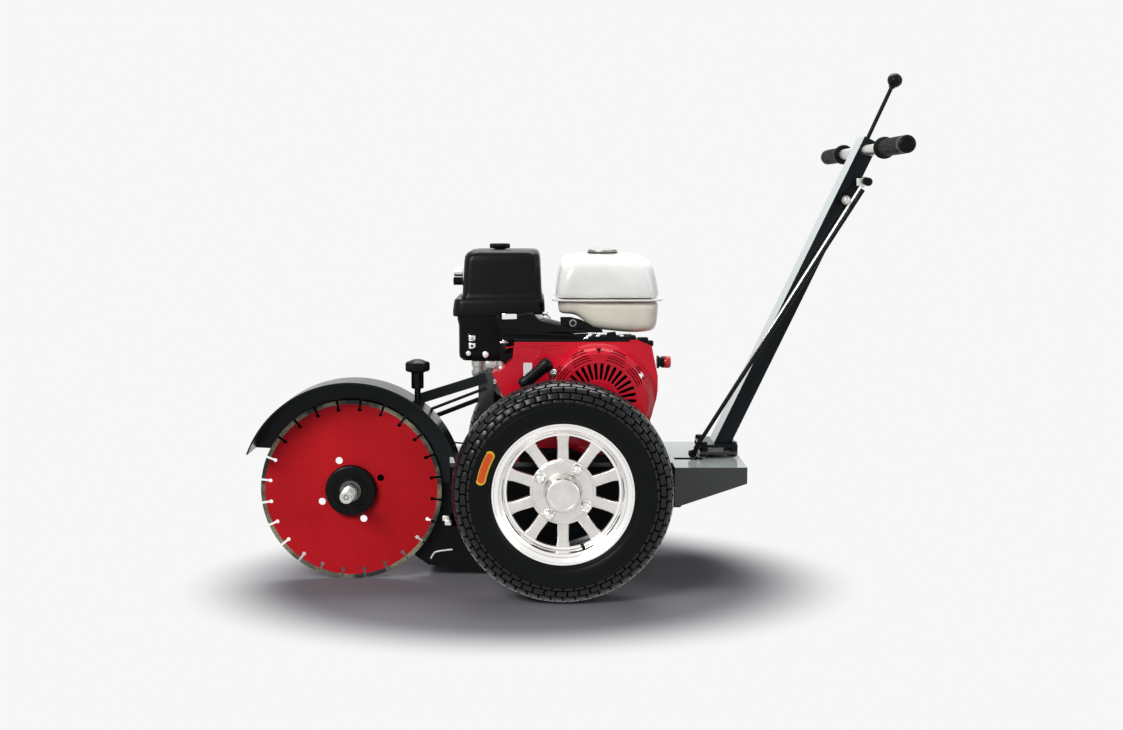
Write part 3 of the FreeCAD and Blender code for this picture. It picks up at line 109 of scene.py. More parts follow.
def mix(tree, mask, first, second):
    """A colour mixed by a mask; each side is a socket or a plain colour."""
    node = add(tree, "Mix", sources={0: mask}, data_type="RGBA")
    for value, socket in ((first, node.inputs[6]), (second, node.inputs[7])):
        if isinstance(value, tuple):
            socket.default_value = (*value, 1)
        else:
            tree.links.new(value, socket)
    return node.outputs[2]


def drifting(tree, scale, detail, colour, dark):
    """The colour with darker patches."""
    return ramp(tree, noise(tree, scale, detail), [(0.3, tuple(c * dark for c in colour)), (0.7, colour)])


def uneven(tree, shader, roughness, source, low, high):
    """Roughness that wanders between two shares of its value."""
    tree.links.new(span(tree, source, roughness * low, min(1, roughness * high)), shader.inputs["Roughness"])


def paint(name, colour, roughness=0.35, coat=0.0, dust=(0.3, 0.3, 0.29), dust_share=0.06, peel=0.00012,
          specular=0.5):
    """Sprayed paint: slight colour drift, orange peel, fine dust and uneven gloss."""
    mat, tree, shader = new_material(name, roughness, coat=coat, coat_roughness=0.12, specular=specular)
    drift = noise(tree, 9, 3)
    dark = tuple(c * 0.86 for c in colour)
    light = tuple(min(1, c * 1.1 + 0.002) for c in colour)
    base = ramp(tree, drift, [(0.3, dark), (0.7, light)])
    specks = span(tree, noise(tree, 260, 6, 0.7), 0, dust_share, (0.52, 0.8))
    tree.links.new(mix(tree, specks, base, dust), shader.inputs["Base Color"])
    uneven(tree, shader, roughness, noise(tree, 40, 5), 0.8, 1.25)
    bump(tree, shader, noise(tree, 420, 2), peel)
    return mat


def painted_light_side(mat, direction, colour, low, high):
    """Lightens the faces that look one way, a painted reflection of the bright surroundings on them."""
    tree = mat.node_tree
    base = tree.nodes["Principled BSDF"].inputs["Base Color"]
    source = base.links[0].from_socket
    normal = add(tree, "NewGeometry").outputs["True Normal"]
    along = add(tree, "VectorMath", {1: Vector(direction).normalized()}, {0: normal}, operation="DOT_PRODUCT")
    mask = span(tree, along.outputs["Value"], 0, 1, (low, high))
    tree.links.new(mix(tree, mask, source, colour), base)


def metal(name, colour, roughness=0.3, grain=(1, 1, 30), scratch=0.00003, stain=0.12):
    """Bare metal with a brushed direction, faint stains and fine scratches."""
    mat, tree, shader = new_material(name, roughness, metallic=1.0)
    base = ramp(tree, noise(tree, 30, 6, 0.6),
                [(0.25, tuple(c * (1 - stain) for c in colour)), (0.75, colour)])
    tree.links.new(base, shader.inputs["Base Color"])
    brushed = noise(tree, 60, 5, 0.6, grain)
    uneven(tree, shader, roughness, brushed, 0.7, 1.5)
    bump(tree, shader, brushed, scratch)
    return mat


def plastic(name, colour, roughness=0.45, grain=900, depth=0.00006, specular=0.5):
    """Moulded plastic with a fine eroded texture."""
    mat, tree, shader = new_material(name, roughness, specular=specular)
    tree.links.new(drifting(tree, 25, 4, colour, 0.85), shader.inputs["Base Color"])
    uneven(tree, shader, roughness, noise(tree, 60, 4), 0.85, 1.2)
    bump(tree, shader, noise(tree, grain, 3), depth)
    return mat


def rubber(name, colour, roughness=0.62, dust=0.10, specular=0.1):
    """Black rubber with moulding haze and pale dust in its pores."""
    mat, tree, shader = new_material(name, roughness, specular=specular)
    base = drifting(tree, 18, 5, colour, 0.8)
    haze = span(tree, noise(tree, 300, 6, 0.75), 0, dust, (0.5, 0.85))
    tree.links.new(mix(tree, haze, base, (0.25, 0.25, 0.24)), shader.inputs["Base Color"])
    uneven(tree, shader, roughness, noise(tree, 50, 5), 0.85, 1.15)
    bump(tree, shader, noise(tree, 700, 4), 0.00012)
    return mat


def grit_material():
    """Sintered grit in dull bronze: coarse speckle, dark pores and a rough face."""
    mat, tree, shader = new_material("grit_segment", 0.6, metallic=0.25)
    coarse = noise(tree, 420, 6, 0.75)
    worn = ramp(tree, coarse, [(0.3, (0.05, 0.045, 0.03)), (0.48, (0.22, 0.20, 0.12)),
                               (0.62, (0.50, 0.47, 0.36)), (0.78, (0.75, 0.72, 0.62))])
    patches = span(tree, noise(tree, 14, 5, 0.6), 0, 1, (0.42, 0.60))
    tree.links.new(mix(tree, patches, (0.007, 0.007, 0.0065), worn), shader.inputs["Base Color"])
    tree.links.new(span(tree, coarse, 0.75, 0.35), shader.inputs["Roughness"])
    bump(tree, shader, coarse, 0.0007)
    return mat


SLATE = paint("slate_paint", (0.0085, 0.0125, 0.014), 0.2, 0.0, dust_share=0.04, peel=0.00004, specular=0.12)
DARK_SLATE = paint("dark_slate_paint", (0.004, 0.0052, 0.0056), 0.4, 0.0, dust_share=0.04, specular=0.06)
COLUMN = paint("column_paint", (0.006, 0.0095, 0.0115), 0.2, 0.0, dust_share=0.03, peel=0.00004,
               specular=0.10)
BLACK = paint("black_paint", (0.0032, 0.0032, 0.0036), 0.32, 0.0, dust_share=0.02, specular=0.10)
DECK = paint("deck_paint", (0.026, 0.030, 0.029), 0.12, 0.0, dust_share=0.04, peel=0.00003, specular=0.5)
ENGINE_RED = paint("engine_red_paint", (0.68, 0.004, 0.022), 0.24, 0.0, (0.75, 0.2, 0.25), 0.03,
                   specular=0.28)
# dark red of the louvre slots: painted shade between the fins
SLOT_SHADE_RED = paint("slot_shade_red", (0.07, 0.0012, 0.004), 0.5, 0.0, specular=0.05)
DISC_RED = paint("disc_red_paint", (0.60, 0.009, 0.016), 0.5, 0.0, (0.20, 0.006, 0.008), 0.5, specular=0.12)
ZINC = metal("zinc_plate", (0.72, 0.72, 0.69), 0.3)
STEEL = metal("bright_steel", (0.66, 0.65, 0.62), 0.24)
DULL_STEEL = metal("dull_steel", (0.35, 0.34, 0.32), 0.42, stain=0.35)
POLISHED = metal("polished_alloy", (0.95, 0.94, 0.92), 0.2, grain=(1, 40, 1), scratch=0.00001, stain=0.03)
MACHINED = metal("machined_alloy", (0.80, 0.775, 0.745), 0.3, grain=(6, 1, 6), scratch=0.00003, stain=0.22)
CHROME = metal("chrome_plate", (0.86, 0.86, 0.85), 0.1, grain=(1, 1, 1), scratch=0.00001, stain=0.03)
CAST = metal("cast_alloy", (0.52, 0.52, 0.50), 0.5, grain=(1, 1, 1), scratch=0.0002, stain=0.3)
IRON = metal("cast_iron", (0.16, 0.155, 0.15), 0.55, grain=(1, 1, 1), scratch=0.0002, stain=0.4)
BLACK_PLASTIC = plastic("black_plastic", (0.003, 0.003, 0.0034), 0.3, specular=0.13)
MATT_PLASTIC = plastic("matt_black_plastic", (0.004, 0.004, 0.0044), 0.45, depth=0.0001, specular=0.1)
CREAM = paint("cream_tank", (0.93, 0.915, 0.875), 0.25, 0.6, dust=(0.5, 0.45, 0.36), dust_share=0.05,
              peel=0.00004)
CREAM_LOW = paint("cream_tank_lower", (0.86, 0.80, 0.68), 0.3, 0.4, dust=(0.42, 0.36, 0.27), dust_share=0.10)
RED_PLASTIC = plastic("red_plastic", (0.62, 0.012, 0.012), 0.3)
TYRE = rubber("tyre_rubber", (0.0028, 0.0036, 0.0036), 0.36, 0.015)
TREAD = rubber("tread_rubber", (0.006, 0.0072, 0.0078), 0.24, 0.08, 0.26)
GROOVE = rubber("groove_rubber", (0.0028, 0.003, 0.003), 0.7, 0.1, 0.03)
GRIP = rubber("grip_rubber", (0.004, 0.004, 0.004), 0.4, 0.04)
STICKER_ORANGE = plastic("sticker_orange", (0.9, 0.10, 0.01), 0.35)
STICKER_YELLOW = plastic("sticker_yellow", (0.95, 0.62, 0.02), 0.35)
GRIT = grit_material()
LABEL = plastic("label_white", (0.93, 0.93, 0.91), 0.4)
# painted reflection: lighter upward faces of the deck and lighter front faces of the column
painted_light_side(DECK, (0, 0, 1), (0.36, 0.40, 0.40), 0.9, 0.99)
painted_light_side(COLUMN, (-0.86, 0, 0.5), (0.52, 0.56, 0.56), 0.9, 0.99)

# what each material is in the record
SLOTS = {mat.name: slot for slot, mats in (
    ("alloy", (POLISHED, MACHINED)), ("black_paint", (BLACK,)), ("cast_alloy", (CAST,)),
    ("disc_red", (DISC_RED,)),
    ("engine_red", (ENGINE_RED, SLOT_SHADE_RED)), ("plastic_black", (BLACK_PLASTIC, MATT_PLASTIC)),
    ("rubber", (GRIP,)),
    ("steel", (GRIT, IRON, STEEL)), ("switch_red", (RED_PLASTIC,)), ("tank_cream", (CREAM, CREAM_LOW)),
    ("tyre_rubber", (TYRE, TREAD, GROOVE)), ("zinc", (ZINC, DULL_STEEL, CHROME)),
) for mat in mats}

# ---------------------------------------------------------------- meshes

def finish_mesh(name, mesh, material, body="chassis", smooth=40, bevel=0.0, level=0, slot=None):
    """Links a mesh as a piece: smooth by angle, bevelled, with its material and body.
    Its record slot, given or else its material's own, is looked up but not kept."""
    mesh.name = name
    obj = bpy.data.objects.new(name, mesh)
    bpy.context.scene.collection.objects.link(obj)
    mesh.materials.clear()
    mesh.materials.append(material)
    if bevel:
        mod = obj.modifiers.new("edge", "BEVEL")
        mod.width = bevel
        mod.segments = 2
        mod.limit_method = "ANGLE"
        mod.angle_limit = math.radians(35)
    if level:
        mod = obj.modifiers.new("surface", "SUBSURF")
        mod.levels = mod.render_levels = level
    if obj.modifiers:
        graph = bpy.context.evaluated_depsgraph_get()
        done = bpy.data.meshes.new_from_object(obj.evaluated_get(graph))
        obj.modifiers.clear()
        obj.data = done
        done.name = name
        mesh = done
    if smooth:
        mesh.shade_smooth()
        mesh.set_sharp_from_angle(angle=math.radians(smooth))
    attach(obj, body)
    slot = SLOTS.get(material.name) if slot is None else slot
    return obj


def from_bmesh(bm):
    """The finished mesh with its faces looking outwards."""
    mesh = bpy.data.meshes.new("mesh")
    bmesh.ops.recalc_face_normals(bm, faces=bm.faces)
    bm.to_mesh(mesh)
    bm.free()
    return mesh


def join_rings(bm, rings, loop=True, caps=(True, True)):
    """Adds the faces between each ring of vertices and the next, and those that close the ends."""
    count = len(rings[0])
    for p, q in zip(rings, rings[1:]):
        for k in range(count if loop else count - 1):
            n = (k + 1) % count
            bm.faces.new((p[k], p[n], q[n], q[k]))
    if caps[0]:
        bm.faces.new(rings[0][::-1])
    if caps[1]:
        bm.faces.new(rings[-1])


def around(steps):
    """Cosine and sine of equal steps of a whole turn."""
    return [(math.cos(TAU * i / steps), math.sin(TAU * i / steps)) for i in range(steps)]


def spoke(a):
    """Unit vectors outwards and sideways at an angle in the X-Z plane."""
    u, v = math.cos(a), math.sin(a)
    return Vector((u, 0, v)), Vector((-v, 0, u))


def lathe(bm, centre, profile, steps=96, closed=False):
    """Adds a turned surface round the Y axis through centre; profile is (radius, y) pairs."""
    rings = []
    for c, s in around(steps):
        rings.append([bm.verts.new((centre[0] + r * c, centre[1] + y, centre[2] + r * s)) for r,
                      y in profile])
    last = len(profile) if closed else len(profile) - 1
    for i in range(steps):
        a, b = rings[i], rings[(i + 1) % steps]
        for j in range(last):
            k = (j + 1) % len(profile)
            bm.faces.new((a[j], a[k], b[k], b[j]))
    if not closed:
        for j in (0, len(profile) - 1):
            if profile[j][0] > 1e-6:
                bm.faces.new([ring[j] for ring in rings])
            else:
                bmesh.ops.pointmerge(bm, verts=[ring[j] for ring in rings], merge_co=rings[0][j].co)


def turned(name, centre, profile, material, body="chassis", steps=96, closed=False, **finish):
    """A turned piece round the Y axis; sizes in mm."""
    bm = bmesh.new()
    lathe(bm, centre, [(r * MM, y * MM) for r, y in profile], steps, closed)
    return finish_mesh(name, from_bmesh(bm), material, body, **finish)


def blocks(name, items, material, body="chassis", bevel=0.0008):
    """Boxes given by their two corners in mm, with softened edges."""
    bm = bmesh.new()
    for low, high in items:
        corners = [(x, y, z) for x in (low[0], high[0]) for y in (low[1], high[1]) for z in (low[2], high[2])]
        verts = [bm.verts.new([v * MM for v in corner]) for corner in corners]
        for ids in ((0, 1, 3, 2), (4, 6, 7, 5), (0, 4, 5, 1), (2, 3, 7, 6), (0, 2, 6, 4), (1, 5, 7, 3)):
            bm.faces.new([verts[i] for i in ids])
    return finish_mesh(name, from_bmesh(bm), material, body, bevel=bevel)


def curve_mesh(curve):
    """The mesh that a curve fills or sweeps."""
    holder = bpy.data.objects.new(curve.name, curve)
    bpy.context.scene.collection.objects.link(holder)
    mesh = bpy.data.meshes.new_from_object(holder.evaluated_get(bpy.context.evaluated_depsgraph_get()))
    bpy.data.objects.remove(holder)
    return mesh


def tube(name, points, radius, material, body="chassis", slot=None):
    """A rod, cable or bent wire along points in mm."""
    curve = bpy.data.curves.new(name, "CURVE")
    curve.dimensions = "3D"
    curve.bevel_depth = radius * MM
    curve.bevel_resolution = 6
    curve.use_fill_caps = True
    spline = curve.splines.new("NURBS")
    spline.points.add(len(points) - 1)
    for point, place in zip(spline.points, points):
        point.co = (*[v * MM for v in place], 1)
    spline.order_u = 3
    spline.use_endpoint_u = True
    spline.resolution_u = 8
    return finish_mesh(name, curve_mesh(curve), material, body, 50, slot=slot)


def flat_plate(name, loops, thick, edge, place, material, body="chassis", slot=None):
    """A plate cut to closed outlines in mm, the first outside and the rest holes, with rounded edges.
    The outline lies in the plate's own x-y plane; place puts it in the row frame."""
    curve = bpy.data.curves.new(name, "CURVE")
    curve.dimensions = "2D"
    curve.fill_mode = "BOTH"
    curve.extrude = (thick / 2 - edge) * MM
    curve.bevel_depth = edge * MM
    curve.bevel_resolution = 2
    curve.offset = -edge * MM
    for loop in loops:
        spline = curve.splines.new("POLY")
        spline.points.add(len(loop) - 1)
        for point, (x, y) in zip(spline.points, loop):
            point.co = (x * MM, y * MM, 0, 1)
        spline.use_cyclic_u = True
    mesh = curve_mesh(curve)
    mesh.transform(place)
    return finish_mesh(name, mesh, material, body, 35, slot=slot)


def facing_near(centre, y=0.0):
    """Puts a plate's x-y plane on the row's X-Z plane, its front towards -Y."""
    return Matrix.Translation((centre[0], centre[1] + y * MM, centre[2])) @ Matrix.Rotation(math.radians(90),
                                                                                            4, "X")


def ring_points(radius, count, start=0.0, centre=(0, 0)):
    """Points round a circle; start is an angle in radians."""
    return [(centre[0] + radius * math.cos(start + TAU * i / count),
             centre[1] + radius * math.sin(start + TAU * i / count)) for i in range(count)]


def arc_points(radius, start, end, count, centre=(0, 0)):
    """Points on an arc, angles in degrees."""
    out = []
    for i in range(count):
        angle = math.radians(start + (end - start) * i / (count - 1))
        out.append((centre[0] + radius * math.cos(angle), centre[1] + radius * math.sin(angle)))
    return out


def rounded_loop(points, radius, steps=5):
    """The outline with its corners rounded."""
    out = []
    count = len(points)
    for i in range(count):
        here, before, after = Vector(points[i]), Vector(points[i - 1]), Vector(points[(i + 1) % count])
        r = min(radius, (before - here).length * 0.45, (after - here).length * 0.45)
        a = here + (before - here).normalized() * r
        b = here + (after - here).normalized() * r
        for k in range(steps + 1):
            t = k / steps
            out.append(tuple((1 - t) ** 2 * a + 2 * t * (1 - t) * here + t * t * b))
    return out


def loft(name, sections, material, body="chassis", **finish):
    """A skin through closed loops of equal count, in mm."""
    bm = bmesh.new()
    join_rings(bm, [[bm.verts.new([v * MM for v in p]) for p in section] for section in sections])
    return finish_mesh(name, from_bmesh(bm), material, body, **finish)


def rounded_rect(x0, x1, y0, y1, r, z, steps=7):
    """A rounded rectangle at height z, as points round it."""
    out = []
    for x, y, start in ((x1, y1, 0), (x0, y1, 90), (x0, y0, 180), (x1, y0, 270)):
        cx = x - r if start in (0, 270) else x + r
        cy = y - r if start in (0, 90) else y + r
        for k in range(steps + 1):
            a = math.radians(start + 90 * k / steps)
            out.append((cx + r * math.cos(a), cy + r * math.sin(a), z))
    return out


def hexagon_nut(name, centre, flats, thick, material, body="chassis", hole=0.0, turn=0.0, dome=0.0):
    """A hex nut or bolt head whose face looks towards -Y, with a chamfer and a washer face; centre in metres
    at its back face, sizes in mm."""
    bm = bmesh.new()
    steps, half, chamfer = 48, flats / 2, 0.93 * flats / math.sqrt(3)

    def ring(radius_at, depth):
        """One ring of vertices at a depth; radius_at gives its radius at each angle."""
        verts = []
        for i in range(steps):
            a = TAU * i / steps
            r = radius_at((a % (TAU / 6)) - TAU / 12) * MM
            verts.append(bm.verts.new((centre[0] + r * math.cos(a + turn), centre[1] - depth * MM,
                                       centre[2] + r * math.sin(a + turn))))
        return verts

    rings = [ring(lambda sector: half / math.cos(sector), 0.0),
             ring(lambda sector: half / math.cos(sector), thick * 0.88),
             ring(lambda sector: min(half / math.cos(sector), chamfer), thick)]
    rounds = [(half * 0.94, thick)]
    if dome:
        rounds += [(half * 0.72, thick), (half * 0.70, thick + dome * 0.35),
                   (half * 0.58, thick + dome * 0.72),
                   (half * 0.33, thick + dome * 0.95), (0.5, thick + dome)]
    else:
        rounds += [(max(hole, half * 0.5), thick), (max(hole * 0.98, 0.4), thick * 0.6)]
    rings += [ring(lambda sector, radius=r: radius, depth) for r, depth in rounds]
    join_rings(bm, rings)
    return finish_mesh(name, from_bmesh(bm), material, body, 25, slot="zinc")


def screw(name, place, flats, thick, turn=0.3, material=None, body="chassis"):
    """A domed chrome screw head; place in mm."""
    return hexagon_nut(name, Vector(place) * MM, flats, thick, material or CHROME, body, 0.5, turn, 1.0)


def dress(node, material):
    """Gives a CAD node that stays its better material."""
    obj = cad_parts[node]
    obj.data.materials.clear()
    obj.data.materials.append(material)
    for poly in obj.data.polygons:
        poly.material_index = 0


def middle(node):
    """The middle of a node's box."""
    low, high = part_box(node)
    return (low + high) / 2

# ---------------------------------------------------------------- camera

LENS, SENSOR = 48.53, 36  # mm
# in metres, from the near wheel, the origin and the floor
CAMERA_SIDE, CAMERA_DISTANCE, CAMERA_HEIGHT = -0.0268, 3.0646, 0.7369
LOOK_DOWN, LOOK_ASIDE = 6.056, -0.498  # degrees
near_tyre = middle("tyre_left")
far_tyre = middle("tyre_right")
camera_data = bpy.data.cameras.new("camera")
camera_data.lens = LENS
camera_data.sensor_width = SENSOR
camera = bpy.data.objects.new("camera", camera_data)
bpy.context.scene.collection.objects.link(camera)
camera.location = (near_tyre.x + CAMERA_SIDE, -CAMERA_DISTANCE, CAMERA_HEIGHT)
camera.rotation_euler = (math.radians(90 - LOOK_DOWN), 0, math.radians(LOOK_ASIDE))
bpy.context.scene.camera = camera

# ---------------------------------------------------------------- wheels

TYRE_RADIUS = (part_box("tyre_left")[1].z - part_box("tyre_left")[0].z) / 2 / MM
TREAD_DEPTH = 6.0
TREAD_EDGE = 75.5  # along the cross-section from its middle, where the grooves run out
BRICKS = 54  # in each row round the tyre
CROWN = ((0, 1.0), (18, 0.9968), (30, 0.987), (38, 0.971), (44, 0.949), (48.6, 0.920), (52, 0.885),
         (54.2, 0.850), (55, 0.832))


def tread_line():
    """Points of the tread's cross-section with their distance along it: (run, radius, y)."""
    line = [(0.0, TYRE_RADIUS, 0.0)]
    for (y0, s0), (y1, s1) in zip(CROWN, CROWN[1:]):
        for k in range(1, 5):
            t = k / 4
            r, y = TYRE_RADIUS * (s0 + (s1 - s0) * t), y0 + (y1 - y0) * t
            run = line[-1][0] + math.hypot(r - line[-1][1], y - line[-1][2])
            line.append((run, r, y))
    return line


TREAD_LINE = tread_line()


def tread_point(run, sink=0.0):
    """(radius, y) at a signed distance along the tread from its middle, sunk below its face."""
    side = -1 if run < 0 else 1
    run = min(abs(run), TREAD_LINE[-1][0] - 0.01)
    for (a, r0, y0), (b, r1, y1) in zip(TREAD_LINE, TREAD_LINE[1:]):
        if run <= b:
            t = (run - a) / (b - a)
            slope = math.atan2(r0 - r1, y1 - y0)
            return (r0 + (r1 - r0) * t - sink * math.cos(slope),
                    side * (y0 + (y1 - y0) * t - sink * math.sin(slope)))
    return (TREAD_LINE[-1][1], side * TREAD_LINE[-1][2])


def make_tyre(side, centre):
    """Carcass with ribbed sidewalls, and rows of tread bricks that wrap onto the shoulder."""
    body = "wheel_" + side
    wall = [(121, 38), (124, 38.4), (128, 40), (133.6, 46.4), (135.4, 47.6), (137.2, 49.6), (139, 49.2),
            (141, 50.6),
            (146, 52.2), (152, 53.4), (157, 54.2), (162, 54.7), (163, 55), (165, 55), (165.6, 54.6),
            (168.6, 54.6),
            (169.4, 55), (171.4, 54.9)]
    floor = [tread_point(run, TREAD_DEPTH * min(1, (TREAD_EDGE - abs(run)) / 12)) for run in range(72, -73,
                                                                                                   -3)]
    profile = wall + floor + [(r, -y) for r, y in wall[::-1]] + [(118, -34), (118, 34)]
    tyre = turned("tyre_" + side + "_carcass", centre, profile, TYRE, body, 144, closed=True, smooth=28)
    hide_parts("tyre_" + side)
    sunk = [tread_point(run, TREAD_DEPTH * min(1, (TREAD_EDGE - abs(run)) / 12) - 0.25) for run in range(69,
                                                                                                         -70,
                                                                                                         -3)]
    turned("tyre_" + side + "_grooves", centre, sunk + [(r - 0.6, y) for r, y in sunk[::-1]], GROOVE, body,
           144, closed=True, smooth=40)
    bm = bmesh.new()
    rows = [(-7, 7, 0.0), (9.6, 22.6, 0.5), (25.2, 38.4, 0.0), (41.0, 52.6, 0.5), (55.2, 65.6, 0.0),
            (68.0, 74.6, 0.5)]
    rows += [(-b, -a, shift) for a, b, shift in rows[1:]]
    for a, b, shift in rows:
        steps = 4
        for i in range(BRICKS):
            a0 = TAU * (i + shift) / BRICKS
            a1 = a0 + TAU * 0.84 / BRICKS
            grid = []
            for k in range(steps + 1):
                run = a + (b - a) * k / steps
                lean = 0.10 * TAU / BRICKS * (1 - 2 * abs(k / steps - 0.5)) * (1 if shift else -1)
                deep = TREAD_DEPTH + 1 if abs(run) < 54 else 3.6 if abs(run) < 66 else 2.2
                top, low = tread_point(run, 0.05), tread_point(run, deep)
                corners = ((low, a0 + lean), (top, a0 + lean), (top, a1 + lean), (low, a1 + lean))
                grid.append([bm.verts.new(centre + Vector((r * math.cos(t), y, r * math.sin(t))) * MM)
                             for (r, y), t in corners])
            join_rings(bm, grid, loop=False)
    finish_mesh("tyre_" + side + "_tread", from_bmesh(bm), TREAD, body, 30, bevel=0.0008)


def make_rim(side, centre, out):
    """Polished ten-spoke wheel; out is the side its face looks to."""
    body = "wheel_" + side
    lip = [(133, 41), (133, 43.6), (131.8, 44), (128.8, 43.9), (127.8, 43.1), (127.2, 42.2), (119.4, 37.4),
           (118.8, 36.2), (118.0, 35.4),
           (113.4, 32.0), (112.4, 30.2), (111.6, 26), (110.8, 12.6), (109.4, 10.0), (107.6, 9.2),
           (105.2, 8.9)]
    back = [(104, 6), (104, -3.4), (112, -4.6), (113, -18), (117, -30), (121, -40), (133, -43.4), (133, -41),
            (122.4, -37),
            (119.4, -24), (119.4, 24), (124, 38)]
    profile = [(r, y * out) for r, y in lip + back]
    barrel = turned("rim_" + side + "_barrel", centre, profile, POLISHED, body, 128, closed=True, smooth=22)
    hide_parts("rim_" + side)
    bm = bmesh.new()
    for i in range(10):
        a = math.radians(90 + 36 * i)
        radial, across = spoke(a)
        stations = ((56, 11.5, 8.4), (66, 11.0, 8.4), (80, 10.6, 7.6), (94, 10.8, 7.4), (103, 12.6, 7.8),
                    (107.5, 16.5, 8.0))
        rings = []
        for r, half, height in stations:
            ring = []
            for s, h in ((-1, -3), (-1, height - 2.2), (-0.84, height), (0.84, height), (1, height - 2.2),
                         (1, -3)):
                ring.append(bm.verts.new(centre + radial * r * MM + across * s * half * MM
                                         + Vector((0, out * h * MM, 0))))
            rings.append(ring)
        join_rings(bm, rings)
    finish_mesh("rim_" + side + "_spokes", from_bmesh(bm), MACHINED, body, 30, bevel=0.0011)
    hub = [(15, -3), (15, 2), (60, 2), (61.8, 3.2), (62, 8), (61.2, 10.2), (59.4, 10.9), (57.2, 10.6),
           (56, 10.0),
           (36.5, 10.2), (35.2, 11.4), (34.4, 14), (34.2, 25), (33.8, 36), (33.2, 47), (32.2, 52.6),
           (30.8, 56.2),
           (28.9, 57.6), (24.6, 57.9), (24.0, 57.5), (12, 57.7), (0, 57.8)]
    limit = abs(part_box("hub_" + side)[0 if out < 0 else 1].y - centre.y) / MM
    profile = [(r, min(y, limit) * out) for r, y in hub]
    cap = turned("hub_" + side + "_cap", centre, [(0, -3 * out)] + profile, MACHINED, body, 128, smooth=24)
    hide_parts("hub_" + side)
    for i in range(4):
        a = math.radians(58 + 90 * i)
        place = centre + Vector((math.cos(a) * 50 * MM, out * 10.3 * MM, math.sin(a) * 50 * MM))
        bm = bmesh.new()
        steps = 36
        seat = ((9.2, 0), (11.0, 0.6), (11.0, 2.2), (9.6, 3.2))
        lathe(bm, place, [(r * MM, y * out * MM) for r, y in seat], steps)
        finish_mesh("lug_seat_%s_%d" % (side, i), from_bmesh(bm), CHROME, body, 30)
        bm = bmesh.new()
        rings = []
        for r, y, hexed in ((9.4, 3.0, 1), (9.4, 11.6, 1), (8.6, 13.4, 0.4), (7.6, 15.2, 0), (5.4, 17.0, 0),
                            (2.6, 18.0, 0)):
            ring = []
            for k in range(steps):
                t = TAU * k / steps
                sector = (t % (TAU / 6)) - TAU / 12
                full = r / math.cos(sector)
                rr = r + (full - r) * hexed
                ring.append(bm.verts.new(place + Vector((rr * MM * math.cos(t), out * y * MM,
                                                         rr * MM * math.sin(t)))))
            rings.append(ring)
        join_rings(bm, rings)
        nut = finish_mesh("lug_nut_%s_%d" % (side, i), from_bmesh(bm), CHROME, body, 30)
        if i == 0:
            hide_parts("lug_nuts_" + side)
    # valve stem in the barrel, seen between the spokes
    a = math.radians(-70)
    base = centre + Vector((math.cos(a) * 112 * MM, out * 12 * MM, math.sin(a) * 112 * MM))
    tip = centre + Vector((math.cos(a) * 102 * MM, out * 30 * MM, math.sin(a) * 102 * MM))
    tube("valve_" + side, [base / MM, (base * 0.5 + tip * 0.5) / MM, tip / MM], 3.2, GRIP, body)


def make_sticker(centre):
    """Plain orange pill with a yellow edge on the near sidewall, bent along it."""
    for name, material, half, end, lift in (("edge", STICKER_YELLOW, 9.2, 12.4, 0.3),
                                            ("field", STICKER_ORANGE, 6.2, 11.0, 0.6)):
        bm = bmesh.new()
        columns = []
        for i in range(41):
            a = -1 + 2 * i / 40
            tip = end - math.degrees(half / 153)
            over = max(0, abs(a * end) - tip) / (end - tip)
            width = half * math.sqrt(max(0.02, 1 - over * over))
            turn = math.radians(160 + a * end)
            column = []
            for k in range(5):
                r = 153 + width * (k / 2 - 1)
                column.append(bm.verts.new(centre + Vector((r * math.cos(turn), -wall_height(r) - lift,
                                                            r * math.sin(turn))) * MM))
            columns.append(column)
        join_rings(bm, columns, loop=False, caps=(False, False))
        finish_mesh("sticker_" + name, from_bmesh(bm), material, "wheel_left", 60)


def wall_height(r):
    """How far the sidewall stands out at a radius, in mm."""
    table = ((139, 49.2), (146, 52.2), (152, 53.4), (160, 54.3), (168, 54.6))
    for (r0, y0), (r1, y1) in zip(table, table[1:]):
        if r <= r1:
            return y0 + (y1 - y0) * (r - r0) / (r1 - r0)
    return table[-1][1]


for side, centre, out in (("left", near_tyre, -1), ("right", far_tyre, 1)):
    make_tyre(side, centre)
    make_rim(side, centre, out)
make_sticker(near_tyre)

# ---------------------------------------------------------------- cutting disc

disc = middle("cutting_disc")
DISC_RADIUS = (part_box("cutting_disc")[1].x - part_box("cutting_disc")[0].x) / 2 / MM
SEGMENTS = 24
FIRST_SLOT = 8.3  # degrees
SLOT_DEPTH, SLOT_HALF = 14.6, 2.1


